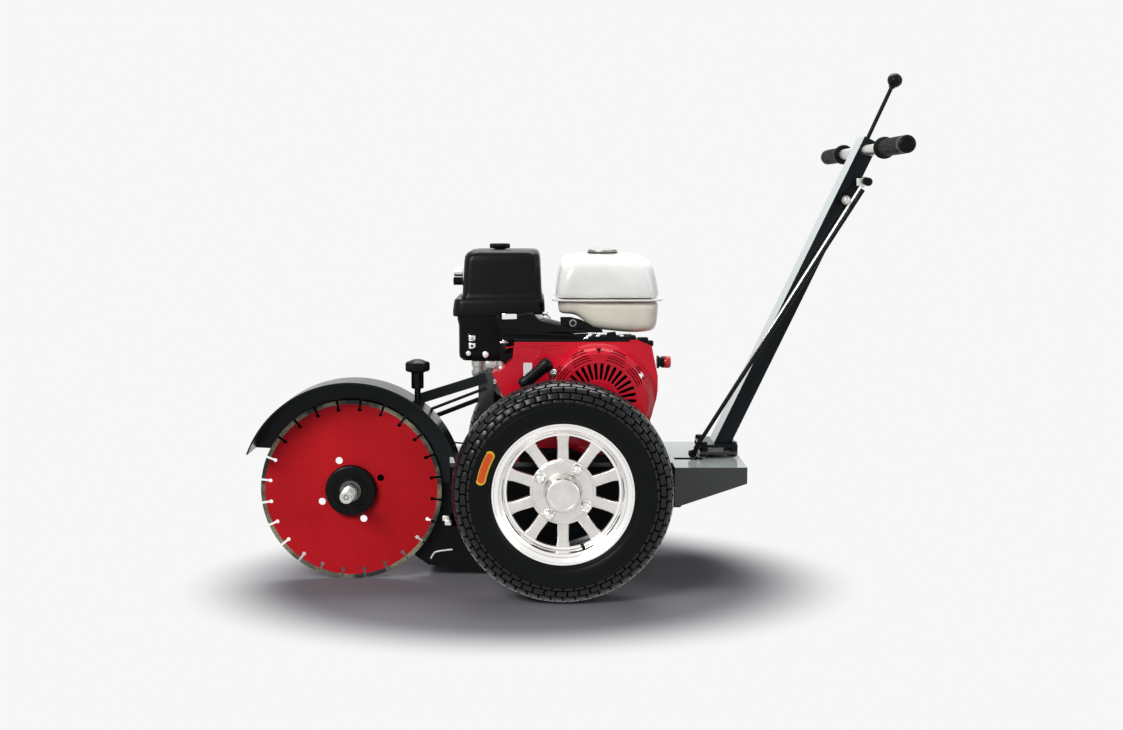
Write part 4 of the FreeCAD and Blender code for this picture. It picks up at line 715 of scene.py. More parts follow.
def make_disc():
    """Red core with keyhole slots and four pin holes, and a ring of grit segments."""
    outline = []
    step = 360 / SEGMENTS
    core = DISC_RADIUS - 7.5
    for i in range(SEGMENTS):
        a = math.radians(FIRST_SLOT + step * i)
        radial, side = spoke(a)
        along, across = radial.xz, side.xz
        lead = math.degrees(2.2 / core)
        outline += arc_points(core, FIRST_SLOT + step * (i - 1) + lead, FIRST_SLOT + step * i - lead, 12)
        for r, w in ((core - 2, SLOT_HALF), (DISC_RADIUS - SLOT_DEPTH, SLOT_HALF)):
            outline.append(tuple(along * r - across * w))
        for k in range(9):
            t = math.radians(-150 + 300 * k / 8)
            outline.append(tuple(along * (DISC_RADIUS - 18 - 3.9 * math.cos(t)) + across * 3.9 * math.sin(t)))
        for r, w in ((DISC_RADIUS - SLOT_DEPTH, SLOT_HALF), (core - 2, SLOT_HALF)):
            outline.append(tuple(along * r + across * w))
    holes = []
    for i in range(4):
        a = math.radians(22 + 90 * i)
        holes.append(ring_points(7, 28, 0, (62.5 * math.cos(a), 62.5 * math.sin(a))))
    plate = flat_plate("disc_core", [outline] + holes, 2.8, 0.35, facing_near(disc), DISC_RED, "cutter")
    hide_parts("cutting_disc")
    for i in range(SEGMENTS):
        a0 = FIRST_SLOT + step * i + math.degrees(2.3 / DISC_RADIUS)
        a1 = FIRST_SLOT + step * (i + 1) - math.degrees(2.3 / DISC_RADIUS)
        loop = arc_points(DISC_RADIUS, a0, a1, 14) + arc_points(DISC_RADIUS - 8.6, a1, a0, 14)
        flat_plate("disc_segment_%02d" % i, [loop], 3.2, 0.5, facing_near(disc), GRIT, "cutter")


make_disc()
flange_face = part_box("outer_flange")[0].y
hub = Vector((disc.x, flange_face, disc.z))
flange = turned("disc_flange", hub, [(12, 13.8), (49.2, 13.8), (50, 13), (50, 3.4), (48.6, 1.2), (46, 0),
                                     (34, 0), (32.6, 0.8),
                                     (24, 0.8), (23, 0.1), (12, 0.1)], BLACK, "cutter", 96, closed=True,
                                     smooth=24)
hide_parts("outer_flange")
turned("disc_washer", hub, [(12.9, 0), (20.4, 0), (21, -0.6), (20.6, -1.6), (12.9, -1.8)], IRON, "cutter", 64,
       closed=True)
nut = hexagon_nut("disc_nut", Vector((disc.x, flange_face - 2.4 * MM, disc.z)), 30, 17.4, DULL_STEEL,
                  "cutter", 13.5, 0.35)
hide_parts("spindle_nut")
spindle_low, spindle_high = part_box("spindle")
end = Vector((disc.x, spindle_low.y, disc.z))
thread = [(0, 0.4), (3.4, 0.2), (4.4, 3.0), (5, 0.2), (9.6, 0.2), (11.2, 1.6)]
y = 2.0
while y < 47:
    thread += [(12.6, y), (12.6, y + 0.6), (11.7, y + 1.3), (11.7, y + 1.6)]
    y += 2.0
length = (spindle_high.y - spindle_low.y) / MM
thread += [(12.7, 50), (12.7, length), (0, length)]
shaft = turned("disc_spindle", end, thread, STEEL, "cutter", 48, smooth=35)
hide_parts("spindle")

# ---------------------------------------------------------------- engine

cover_low, cover_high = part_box("recoil_cover")
crank = middle("crankshaft")
shroud_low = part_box("fan_shroud")[0]


COVER_RADIUS = 108.0


def make_recoil():
    """Dished starter cover: a ring of radial slots and louvre arcs."""
    centre = Vector((crank.x, cover_high.y, crank.z))
    face = Vector((crank.x, cover_low.y, crank.z))
    slope = ((0, 0), (0, -6), (2, -9), (6, -16), (10, -25), (15, -30.5), (19, -31.8), (17, -31.9),
             (17, -29.4),
             (19, -29.2), (13, -24), (8, -12), (4, 0))
    rim = [(COVER_RADIUS - inset, y) for inset, y in slope]
    shell = turned("starter_shell", centre, rim, ENGINE_RED, steps=160, closed=True, smooth=30)
    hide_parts("recoil_cover")
    holes = []
    for i in range(34):
        a = math.radians(90 + 360 / 34 * (i + 0.5))
        radial, side = spoke(a)
        along, across = radial.xz, side.xz
        loop = []
        for r, w in ((69, 3.2), (43, 2.2)):
            for k in range(5):
                t = math.radians(90 - 45 * k)
                sign = 1 if r > 60 else -1
                loop.append(tuple(along * (r + sign * w * math.cos(t)) + across * (w * math.sin(t) * sign)))
        holes.append(loop)
    flat_plate("starter_grille", [ring_points(91.5, 120)] + holes, 3.0, 0.5, facing_near(face, 2.0),
               ENGINE_RED)
    turned("starter_boss", face, [(39, 0.9), (39, 0), (37.6, -0.1), (36.4, 0.7), (22, 0.7), (20, 0.1),
                                  (12, 0.0), (0, 0)],
           ENGINE_RED, steps=96, smooth=30)
    turned("starter_ring", face, [(72.6, 2.0), (72.6, 0.2), (73.6, 0), (75.4, 0), (76.2, 0.6), (76.6, 2.0)],
           ENGINE_RED, steps=120, smooth=30)
    # louvre arcs on the face and the sloping rim, in groups; the dark red slot bands are painted shade
    # between the fins
    surface = ((70, -33.5), (91.4, -33.5), (91.6, -31.9), (93, -30.5), (98, -25), (102, -16), (106, -9))

    def depth_at(r):
        """The cover's y at a radius, in mm from its back edge."""
        for (r0, d0), (r1, d1) in zip(surface, surface[1:]):
            if r <= r1:
                return d0 + (d1 - d0) * (r - r0) / (r1 - r0)
        return surface[-1][1]

    def arc_band(name, inner, outer, start, end, material, lift):
        """A low band along an arc of the cover, angles in degrees."""
        bm = bmesh.new()
        rings = []
        for i in range(33):
            a = math.radians(start + (end - start) * i / 32)
            ring = []
            for r, raised in ((inner, -0.6), (inner, lift), (outer, lift), (outer, -0.6)):
                ring.append(bm.verts.new(centre + Vector((r * math.cos(a), depth_at(r) - raised,
                                                          r * math.sin(a))) * MM))
            rings.append(ring)
        join_rings(bm, rings, loop=False)
        finish_mesh(name, from_bmesh(bm), material, smooth=30)

    for start, end in ((100, 127), (132, 160), (20, 48), (53, 80)):
        for k, r in enumerate((78.2, 83.6, 88.6, 94.4, 98.2)):
            trim = 1.5 * k
            arc_band("louvre_slot_%d_%d" % (start, k), r, r + 1.9, start + trim, end - trim, SLOT_SHADE_RED, 0.08)
            arc_band("louvre_fin_%d_%d" % (start, k), r + 1.9, r + 2.9, start + trim, end - trim, ENGINE_RED,
                     0.45)


make_recoil()
for i, (dx, dz) in enumerate(((-85, 52), (78, 47), (84, -57), (-84, -57))):
    seat = Vector((crank.x + dx * MM, shroud_low.y + 1 * MM, crank.z + dz * MM))
    turned("shroud_boss_%d" % i, seat, [(0, 0), (12, 0), (11.4, -24), (10.6, -26), (0, -26)], ENGINE_RED,
           steps=48)
    seat = seat + Vector((0, -25.9 * MM, 0))
    turned("shroud_screw_seat_%d" % i, seat, [(0, 0), (8.4, 0), (8.4, -0.8), (7.4, -2.0), (0, -2.0)], CHROME,
           steps=40)
    screw("shroud_screw_%d" % i, seat / MM + Vector((0, -1.8, 0)), 10, 4.6, 0.3 * i)
notch = Vector((crank.x, shroud_low.y - 32.4 * MM, crank.z + 97 * MM))
flat_plate("starter_notch", [[(-5, 4), (5, 4), (0, -5)]], 0.8, 0.1, facing_near(notch), BLACK)


def make_shroud_details():
    """Pressed lines and the blank plate on the near face of the fan shroud."""
    y = shroud_low.y / MM
    tube("shroud_line_high", [(-70, y + 0.6, 468), (-34, y + 0.6, 468)], 1.3, ENGINE_RED)
    tube("shroud_line_bend", [(-148, y + 0.6, 462), (-132, y + 0.6, 466), (-78, y + 0.6, 466),
                              (-72, y + 0.6, 462), (-90, y + 0.6, 440),
                              (-104, y + 0.6, 428)], 1.3, ENGINE_RED)
    plate = [(-113, 405), (-96, 405), (-96, 434), (-113, 434)]
    flat_plate("shroud_blank_plate", [rounded_loop(plate, 1.5)], 0.8, 0.2,
               facing_near(ORIGIN, y - 0.4), LABEL)


make_shroud_details()


def rod_shape(name, start, end, profile, material, body="chassis", steps=48):
    """A turned piece along any line; profile is (share along, radius) in mm."""
    a, b = Vector(start) * MM, Vector(end) * MM
    axis = (b - a).normalized()
    side = axis.orthogonal().normalized()
    other = axis.cross(side)
    bm = bmesh.new()
    rings = []
    for share, r in profile:
        spot = a + (b - a) * share
        rings.append([bm.verts.new(spot + (side * u + other * v) * r * MM) for u, v in around(steps)])
    join_rings(bm, rings)
    return finish_mesh(name, from_bmesh(bm), material, body)


def make_pull_grip():
    """Starter grip with swollen ends, a waist ring and finger ribs."""
    low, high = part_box("recoil_grip")
    y = (low.y + high.y) / 2 / MM
    start, end = (low.x / MM + 6, y, low.z / MM + 6), (high.x / MM - 6, y, high.z / MM - 6)
    full = (high.y - low.y) / 2 / MM
    profile = [(0, 2), (0.02, full * 0.7), (0.06, full * 0.92), (0.12, full), (0.2, full * 0.96)]
    for k in range(7):
        at = 0.24 + 0.07 * k
        profile += [(at, full * 0.94), (at + 0.015, full * 0.8), (at + 0.035, full * 0.8),
                    (at + 0.05, full * 0.94)]
    profile += [(0.78, full * 0.97), (0.88, full), (0.95, full * 0.93), (0.99, full * 0.6), (1.0, 2)]
    start, end = Vector(start), Vector(end)
    across = (end - start).cross(Vector((0, 1, 0))).normalized()
    sections = []
    for share, r in profile:
        centre = start + (end - start) * share
        sections.append([tuple(centre + across * r * 1.5 * u + Vector((0, r * v, 0))) for u, v in around(48)])
    grip = loft("starter_grip_bar", sections, BLACK_PLASTIC, "starter_grip", smooth=40)
    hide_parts("recoil_grip")


make_pull_grip()


def make_linkages():
    """Black shelf over the shroud with the governor arms, springs and bracket below the tank."""
    near = shroud_low.y / MM
    blocks("shroud_top_strip", [((12, near + 1, 478), (98, near + 62, 484.4)),
                                ((-131, near - 0.6, 474), (92, near + 2.4, 480))], BLACK, bevel=0.0012)
    web = [rounded_loop([(-42, 521), (-22, 521), (-2, 516), (22, 503), (40, 496), (40, 488), (-40, 488)], 2)]
    flat_plate("governor_bracket", web, 4, 0.6, facing_near(ORIGIN, near + 18),
               BLACK)
    turned("governor_washer", Vector((-0.0175, (near + 15.6) * MM, 0.5095)),
           [(0, -1.2), (7, -1.2), (7, 0.8), (0, 0.8)], DULL_STEEL, steps=36)
    screw("governor_screw", (-17.5, near + 14.6, 509.5), 8, 3.4, material=BLACK_PLASTIC)
    arms = (
        ("governor_arm", [(0, 478), (16, 491), (21, 489), (7, 476)]),
        ("governor_arm_low", [(22, 478), (31, 492), (37, 490), (29, 477)]),
        ("governor_stay", [(70, 476), (74, 488), (80, 487), (78, 475)]),
        ("governor_foot", [(44, 472), (48, 492), (64, 494), (70, 474)]),
    )
    for name, outline in arms:
        flat_plate(name, [rounded_loop(outline, 1.6)], 2.0, 0.4,
                   facing_near(ORIGIN, near + 4),
                   BLACK if name == "governor_foot" else CHROME, slot="zinc")
    blocks("governor_bracket_rear", [((88, near + 3, 468), (104, near + 22, 486)),
                                     ((106, near + 6, 470), (128, near + 20, 482)),
                                     ((126, near + 8, 464), (138, near + 18, 476))], BLACK, bevel=0.003)
    tube("governor_rod", [(-16, near + 8, 489), (0, near + 8, 491), (46, near + 9, 489), (80, near + 9, 486)],
         1.4, CHROME)
    tube("throttle_cable", [(-146, near + 2, 500), (-110, near + 4, 512), (-70, near + 6, 506),
                            (-30, near + 6, 498), (10, near + 7, 492)], 1.8,
         BLACK_PLASTIC)
    coil = []
    for i in range(97):
        a = TAU * i / 8
        coil.append((30 + i * 0.36, near + 7 + 3 * math.cos(a), 489 + 3 * math.sin(a)))
    tube("governor_spring", coil, 0.8, CHROME)
    blocks("carburettor_bits", [((-88, -96, 512), (-78, -88, 524)), ((-80, -96, 520), (-66, -88, 527))],
           CHROME, bevel=0.002)
    tube("choke_rod", [(-88, -94, 530), (-74, -94, 526), (-60, -94, 514)], 1.6, CHROME)


make_linkages()


def make_lower_castings():
    """Grey carburettor bosses and bolts below the air cleaner, and a black rail under the shroud that is
    painted shade there.
    """
    for name, x, y, low, high, r in (("intake_boss_left", -204, -80, 399, 429, 13),
                                     ("intake_boss_right", -158, -92, 404, 430, 9.5)):
        rod_shape(name, (x, y, low), (x, y, high),
                  [(0, r * 0.7), (0.06, r * 0.94), (0.12, r), (0.34, r), (0.38, r * 0.82), (0.62, r * 0.82),
                                                    (0.66, r), (1, r)], CAST)
    blocks("intake_casting", [((-214, -84, 408), (-184, -60, 430)), ((-190, -88, 414), (-150, -60, 430)),
                              ((-176, -90, 384), (-166, -74, 410))],
           CAST, bevel=0.003)
    for i, (x, z, y) in enumerate(((-172, 389, -91.4), (-172, 405, -91.4), (-222, 446, -99),
                                   (-158, 417, -103))):
        screw("casting_bolt_%d" % i, (x, y, z), 9, 4, 0.4 * i)
    near = shroud_low.y / MM
    # black rail where the lower shroud lies in shade: painted shade
    blocks("shroud_shade_rail", [((-122, near - 3, 240), (112, near + 8, 268)),
                                 ((-40, near - 3, 262), (-24, near + 8, 284))], BLACK, bevel=0.002)


make_lower_castings()

TANK_LOW, TANK_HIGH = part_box("fuel_tank")


def with_midpoints(ring, parts):
    """A ring of points with each long straight run divided into equal parts."""
    filled = []
    for a, b in zip(ring, ring[1:] + ring[:1]):
        count = parts if math.dist(a, b) > 30 else 1
        filled += [tuple(p + (q - p) * k / count for p, q in zip(a, b)) for k in range(count)]
    return filled


def make_tank():
    """Two pressed halves with a rolled seam: a crowned top and a sloping, stepped underside."""
    x0, x1, y0, y1 = TANK_LOW.x / MM, TANK_HIGH.x / MM, TANK_LOW.y / MM, TANK_HIGH.y / MM
    top = TANK_HIGH.z / MM
    seam = top - 87
    lip = 7
    u0, u1, v0, v1 = x0 + lip, x1 - lip, y0 + lip, y1 - lip
    upper = [
        (0.5, 0.5, 26, seam), (0.6, 0.2, 27, seam + 8), (2.6, 0.4, 28, seam + 24), (5.6, 1.8, 29, seam + 44),
        (8.4, 4.2, 31, seam + 58),
        (11.5, 8, 33, seam + 68), (15.5, 13, 35, seam + 75), (21, 21, 35, seam + 80),
        (29, 32, 33, seam + 83.2), (42, 49, 26, seam + 85.2),
        (60, 80, 14, seam + 86.4), (80, 110, 5, seam + 86.9),
    ]
    sections = [rounded_rect(u0 + a * 0.9, u1 - a * 1.15, v0 + b, v1 - b, r, z) for a, b, r, z in upper]
    body = loft("tank_upper", sections, CREAM, smooth=80, level=1)
    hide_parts("fuel_tank")
    rolled = []
    for grow, z in ((-2, 1.4), (3.0, 1.6), (5.6, 1.9), (6.8, 1.2), (7, 0), (6.8, -1.2), (5.6, -1.9),
                    (3.0, -1.6), (-2, -1.4)):
        rolled.append(rounded_rect(u0 - grow, u1 + grow, v0 - grow, v1 + grow, 27 + grow, seam + z))
    loft("tank_seam", rolled, CREAM, smooth=50)
    lower = []
    for inset, drop in ((1.5, 0), (2.2, -10), (3.2, -28), (4.6, -44), (7.0, -53), (11, -59), (18, -62.8),
                        (32, -64.8), (56, -65.4)):
        section = []
        ring = rounded_rect(u0 + 4 + inset * 0.5, u1 - inset * 0.9, v0 + inset, v1 - inset, 27, seam + drop)
        for px, py, pz in with_midpoints(ring, 24):
            share = min(1, max(0, (px - (x0 + 40)) / 46))
            depth = 0.44 + 0.42 * share * share * (3 - 2 * share) + 0.14 * min(1,
                                                                               max(0, (px - (x0 + 60)) / 90))
            section.append((px, py, seam + (pz - seam) * depth))
        lower.append(section)
    loft("tank_lower", lower, CREAM_LOW, smooth=80, level=1)
    low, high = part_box("fuel_cap")
    c = (low + high) / 2 / MM
    bm = bmesh.new()
    steps = 72
    rings = []
    for r, z in ((24, 0.2), (29.2, 0.6), (29.6, 4.6), (28.4, 7.0), (24.6, 8.6), (18, 9.4), (8, 9.6)):
        rings.append([bm.verts.new(((c.x + r * u) * MM, (c.y + r * v) * MM, low.z + z * MM)) for u,
                      v in around(steps)])
    join_rings(bm, rings)
    cap = finish_mesh("fuel_cap_dish", from_bmesh(bm), DULL_STEEL, "tank_cap", 35)
    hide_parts("fuel_cap")
    # pressed grip bar across the cap
    bar = []
    for t, w, h in ((-27, 4, 7.4), (-22, 8, 10.6), (-12, 7, 11.8), (0, 6, 12), (12, 7, 11.8), (22, 8, 10.6),
                    (27, 4, 7.4)):
        bar.append([((c.x + t), (c.y + y), low.z / MM + z) for y,
                    z in ((-w, 4), (-w, h - 1.6), (-w + 1.6, h), (w - 1.6, h),
                                                                     (w, h - 1.6), (w, 4))])
    loft("fuel_cap_grip", bar, CHROME, "tank_cap", smooth=35)
    turned_rim = [(0, 30.2), (0.15, 30.8), (0.5, 31.2), (0.85, 30.8), (1, 30.2)]
    rod_shape("fuel_cap_gasket", (c.x, c.y, low.z / MM + 0.4), (c.x, c.y, low.z / MM + 2.6),
              [(0, 22)] + turned_rim + [(1, 22)], BLACK_PLASTIC, "tank_cap")


make_tank()

AIR_LOW, AIR_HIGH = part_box("air_cleaner_cover")
BAND_LOW, BAND_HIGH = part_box("air_cleaner_base")


def make_air_cleaner():
    """Tall cover on a flared band, foot with its elbow, clips and a lobed knob."""
    x0, x1, y0, y1 = (AIR_LOW.x + 0.2 * MM) / MM, AIR_HIGH.x / MM, AIR_LOW.y / MM, AIR_HIGH.y / MM
    top, band = AIR_HIGH.z / MM, 552
    sections = []
    for inset, z, r in ((-1.2, band, 16), (-1.2, band + 5, 16), (0.5, band + 7.5, 16), (0.9, band + 12, 16),
                        (4.0, top - 22, 17),
                        (5.2, top - 12, 19), (8.5, top - 5.5, 21), (14, top - 1.6, 22), (22, top - 0.3, 20),
                        (40, top - 0.3, 12)):
        sections.append(rounded_rect(x0 + inset * 1.15, x1 - inset * 0.75, y0 + inset, y1 - inset, r, z))
    cover = loft("air_cleaner_lid", sections, BLACK_PLASTIC, smooth=50)
    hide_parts("air_cleaner_cover")
    bx0, bx1, by0, by1 = BAND_LOW.x / MM, BAND_HIGH.x / MM, BAND_LOW.y / MM, BAND_HIGH.y / MM
    sections = []
    for inset, z, r in ((9, 517, 14), (1.6, 518, 18), (0, 520, 20), (0, 528, 20), (1.4, 543, 20),
                        (2.4, 550, 20), (4, 552, 19), (12, 552, 16)):
        sections.append(rounded_rect(bx0 + inset * (1.4 if z > 530 else 1), bx1 - inset, by0 + inset,
                                     by1 - inset, r, z))
    rim = loft("air_cleaner_band", sections, BLACK_PLASTIC, smooth=40)
    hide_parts("air_cleaner_base")
    sections = []
    for inset, z, r in ((8, 430.4, 10), (1, 437, 12), (0, 445, 12), (0, 500, 12), (-3, 512, 14),
                        (-3, 519, 14)):
        sections.append(rounded_rect(bx0 + 12 + inset, -134 - inset * 0.5, by0 + 6 + inset, by1 - 16 - inset,
                                     r, z))
    loft("air_cleaner_foot", sections, MATT_PLASTIC, smooth=40)
    near = by0 + 1

    def near_plate(name, outline, y_a, y_b, material=MATT_PLASTIC, soft=6, slot="plastic_black"):
        """A plate between two y planes, with its corners rounded."""
        flat_plate(name, [rounded_loop(outline, soft)], (y_b - y_a), 1.2,
                   facing_near(ORIGIN, (y_a + y_b) / 2), material, slot=slot)

    # wedge below the band that runs back to the engine, and the intake elbow in the shroud's corner
    near_plate("air_cleaner_wedge", [(-163, 508), (-157, 521), (-96, 530), (-84, 516), (-24, 500), (-14, 493),
                                     (-150, 492)], -166, near + 50, BLACK)
    near_plate("intake_elbow", [(-160, 500), (-120, 493), (-131, 470), (-131, 446), (-142, 428), (-160, 430)],
               near - 6, near + 50)
    near_plate("intake_lip", [(-166, 522), (-160, 526), (-146, 498), (-14, 488), (-14, 484), (-150, 488)],
               -167.5, -160, BLACK, 1.5, "black_paint")
    spot = Vector((-0.147, (near - 6.5) * MM, 0.457))
    turned("intake_boss", spot, [(0, -2.4), (7, -2.4), (8.6, -1.6), (9.4, 0), (11.6, 0.4), (12.2, 2),
                                 (12.2, 6)], BLACK_PLASTIC, steps=48)
    blocks("intake_bright_bits", [((-160, near - 8, 466), (-142, near - 4, 470)),
                                  ((-155, near - 9.5, 470), (-146, near - 5, 473))], ZINC, bevel=0.0012)
    spot = Vector((-0.188, (by0 + 5) * MM, 0.443))
    turned("foot_bolt_seat", spot, [(0, -2.4), (5.4, -2.4), (6.4, -1.6), (6.4, 2)], CHROME, steps=40)
    screw("foot_bolt", spot / MM + Vector((0, -2.2, 0)), 8, 3.4, 0.2)
    # clips on the near face
    face = by0 + 5.6
    blocks("air_cleaner_clips", [((-221.5, face - 2.4, 469.5), (-208, face + 1, 481)),
                                 ((-221.5, face - 2.4, 454.5), (-208, face + 1, 466))],
           CHROME, bevel=0.0016)
    blocks("air_cleaner_clip_eyes", [((-217, face - 3, 472.5), (-211, face - 1, 474.6)),
                                     ((-216, face - 3, 476.5), (-211, face - 1, 478)),
                                     ((-217.5, face - 3, 458), (-212, face - 1, 462.4))], BLACK_PLASTIC,
                                     bevel=0.0004)
    blocks("air_cleaner_badge_frame", [((-223, face - 1.2, 451), (-205, face + 0.6, 485))], BLACK_PLASTIC,
           bevel=0.001)
    blocks("air_cleaner_tab", [((-154, -169.5, 517.5), (-125, -160, 528.5))], CHROME, bevel=0.0016)
    rod_shape("air_cleaner_catch", (bx0 + 1, -60, 604), (bx0 + 19, -60, 604),
              [(0, 5), (0.05, 8.4), (0.2, 9), (1, 9)], ZINC)
    ribs = [(0, 5), (0.06, 8)]
    for k in range(6):
        ribs += [(0.1 + 0.14 * k, 8.8), (0.14 + 0.14 * k, 7.6), (0.2 + 0.14 * k, 7.6), (0.23 + 0.14 * k, 8.8)]
    rod_shape("air_cleaner_catch_knob", (bx0, -62, 586), (bx0 + 19, -62, 586), ribs + [(1, 8.8)],
              BLACK_PLASTIC)
    low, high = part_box("air_cleaner_knob")
    c = (low + high) / 2 / MM
    sections = []
    radius = (high.x - low.x) / 2 / MM
    for share, z in ((0.6, 0.1), (0.62, 1.6), (0.94, 2.2), (1.0, 3.6), (1.0, 9.4), (0.95, 11.2), (0.82, 11.9),
                     (0.5, 11.9)):
        ring = []
        for i in range(96):
            a = TAU * i / 96
            lobe = 1 + 0.07 * math.cos(8 * a) if share > 0.9 else 1
            r = min(radius, radius * share * lobe * 0.93)
            ring.append((c.x + r * math.cos(a), c.y + r * math.sin(a) * (high.y - low.y) / (high.x - low.x),
                         low.z / MM + z))
        sections.append(ring)
    knob = loft("air_cleaner_wing", sections, BLACK_PLASTIC, "filter_knob", smooth=35)
    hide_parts("air_cleaner_knob")


make_air_cleaner()

# ---------------------------------------------------------------- handle

def make_grip(node, name, inner, outer):
    """Ribbed rubber grip with a big flange disc at the inner end and a rounded knob at the outer."""
    low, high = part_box(node)
    c = (low + high) / 2
    sign = 1 if outer > inner else -1
    length = abs(outer - inner) / MM
    profile = [(11.2, 1), (19.4, 0), (20.8, 2.2), (20.8, 6.4), (19.2, 8.6), (15.4, 9.6), (14.4, 12)]
    y = 14
    while y < length - 30:
        profile += [(13.2, y), (14.8, y + 0.8), (14.8, y + 4.6), (13.2, y + 5.4)]
        y += 7.2
    profile += [(13.8, length - 26), (15.6, length - 24), (16.4, length - 21), (16.4, length - 6),
                (15.6, length - 2.6), (12.8, length - 0.6),
                (9, length), (8.2, length - 1), (4, length - 1), (3.4, length), (0, length)]
    place = Vector((c.x, inner, c.z))
    grip = turned(name, place, [(r, y * sign) for r, y in profile], GRIP, steps=72, smooth=32)
    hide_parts(node)
    # lengthwise knurl rows on the palm
    bm = bmesh.new()
    for i in range(24):
        a = TAU * i / 24
        radial, across = spoke(a)
        y = 16
        while y < length - 32:
            base = place + Vector((0, sign * (y + 2.2) * MM, 0)) + radial * 15.6 * MM
            verts = []
            for u, v, w in ((-1.1, -1.9, 0), (1.1, -1.9, 0), (1.1, 1.9, 0), (-1.1, 1.9, 0),
                            (-0.6, -1.3, 0.9), (0.6, -1.3, 0.9), (0.6, 1.3, 0.9), (-0.6, 1.3, 0.9)):
                verts.append(bm.verts.new(base + across * u * MM + Vector((0, v * MM, 0)) + radial * w * MM))
            for ids in ((0, 1, 2, 3), (4, 5, 6, 7), (0, 1, 5, 4), (1, 2, 6, 5), (2, 3, 7, 6), (3, 0, 4, 7)):
                bm.faces.new([verts[k] for k in ids])
            y += 7.2
    finish_mesh(name + "_knurl", from_bmesh(bm), GRIP, smooth=30)


for side, near, far in (("left", 1, 0), ("right", 0, 1)):
    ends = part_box("grip_" + side)
    make_grip("grip_" + side, "grip_%s_rubber" % side, ends[near].y, ends[far].y)

ball = middle("lever_ball")
ball_radius = (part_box("lever_ball")[1].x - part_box("lever_ball")[0].x) / 2 / MM
lean = math.radians(24.4)


def make_ball():
    """A slightly flattened knob with a moulding line and a short neck."""
    bm = bmesh.new()
    shape = [(4.2, -16.5), (6.4, -16.2), (6.6, -13.4), (9.2, -11.6)]
    for k in range(14):
        t = math.radians(-48 + 138 * k / 13)
        shape.append((ball_radius * math.cos(t), ball_radius * 0.93 * math.sin(t)))
    shape[-1] = (0, shape[-1][1])
    rings = []
    steps = 64
    turn = Matrix.Rotation(lean, 4, "Y")
    for r, z in shape:
        rings.append([bm.verts.new(ball + turn @ Vector((r * MM * u, r * MM * v, z * MM))) for u,
                      v in around(steps)])
    join_rings(bm, rings, caps=(True, False))
    bmesh.ops.pointmerge(bm, verts=rings[-1], merge_co=rings[-1][0].co)
    knob = finish_mesh("lever_knob", from_bmesh(bm), BLACK_PLASTIC, "lever", 40)
    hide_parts("lever_ball")


make_ball()

# ---------------------------------------------------------------- carried-over nodes

for material, nodes in (
    (SLATE, ("blade_guard", "guard_strut", "belt_cover")),
    (DECK, ("deck_plate", "rear_box", "foot_plate")),
    (DARK_SLATE, ("side_plate_left", "side_plate_right", "belly_plate")),
    (COLUMN, ("handle_column",)),
    (BLACK, ("guard_brace", "muffler", "cross_shaft", "idler_arm", "clutch_lever", "control_plate",
             "mount_bolts")),
    (ZINC, ("handlebar_tubes", "control_rod", "throttle_lever", "pull_link")),
    (DULL_STEEL, ("axle", "crankshaft", "spindle_bearings", "inner_flange")),
    (CAST, ("crankcase", "cylinder_head", "carburettor", "flywheel")),
    (IRON, ("drive_pulley", "driven_pulley", "idler_pulley", "spindle_housing")),
    (GRIP, ("drive_belt", "rubber_mounts")),
):
    for node in nodes:
        dress(node, material)


def make_guard_knob():
    """Lobed mushroom knob on its stem."""
    low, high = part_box("guard_knob")
    x, y = (low.x + high.x) / 2 / MM, (low.y + high.y) / 2 / MM
    z0, z1 = low.z / MM, high.z / MM
    tall, wide = z1 - z0, (high.x - low.x) / 2 / MM
    bm = bmesh.new()
    shape = [(wide * 0.25, 0), (wide * 0.25, tall * 0.40), (wide * 0.46, tall * 0.412),
             (wide * 0.5, tall * 0.43), (wide * 0.5, tall * 0.715),
             (wide * 0.54, tall * 0.735), (wide * 0.86, tall * 0.755), (wide * 0.965, tall * 0.775),
             (wide, tall * 0.805), (wide, tall * 0.90),
             (wide * 0.975, tall * 0.93), (wide * 0.90, tall * 0.945), (wide * 0.62, tall * 0.965),
             (wide * 0.45, tall * 0.985), (wide * 0.2, tall), (0.4, tall)]
    rings = []
    steps = 112
    for r, z in shape:
        lobe = 0.045 if r > wide * 0.85 else 0.0
        ring = []
        for i, (u, v) in enumerate(around(steps)):
            reach = r * (1 - lobe + lobe * math.cos(7 * TAU * i / steps))
            ring.append(bm.verts.new(Vector((x + reach * u, y + reach * v, z0 + z)) * MM))
        rings.append(ring)
    join_rings(bm, rings)
    knob = finish_mesh("guard_knob_head", from_bmesh(bm), BLACK_PLASTIC, "guard_knob", 30)
    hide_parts("guard_knob")


make_guard_knob()


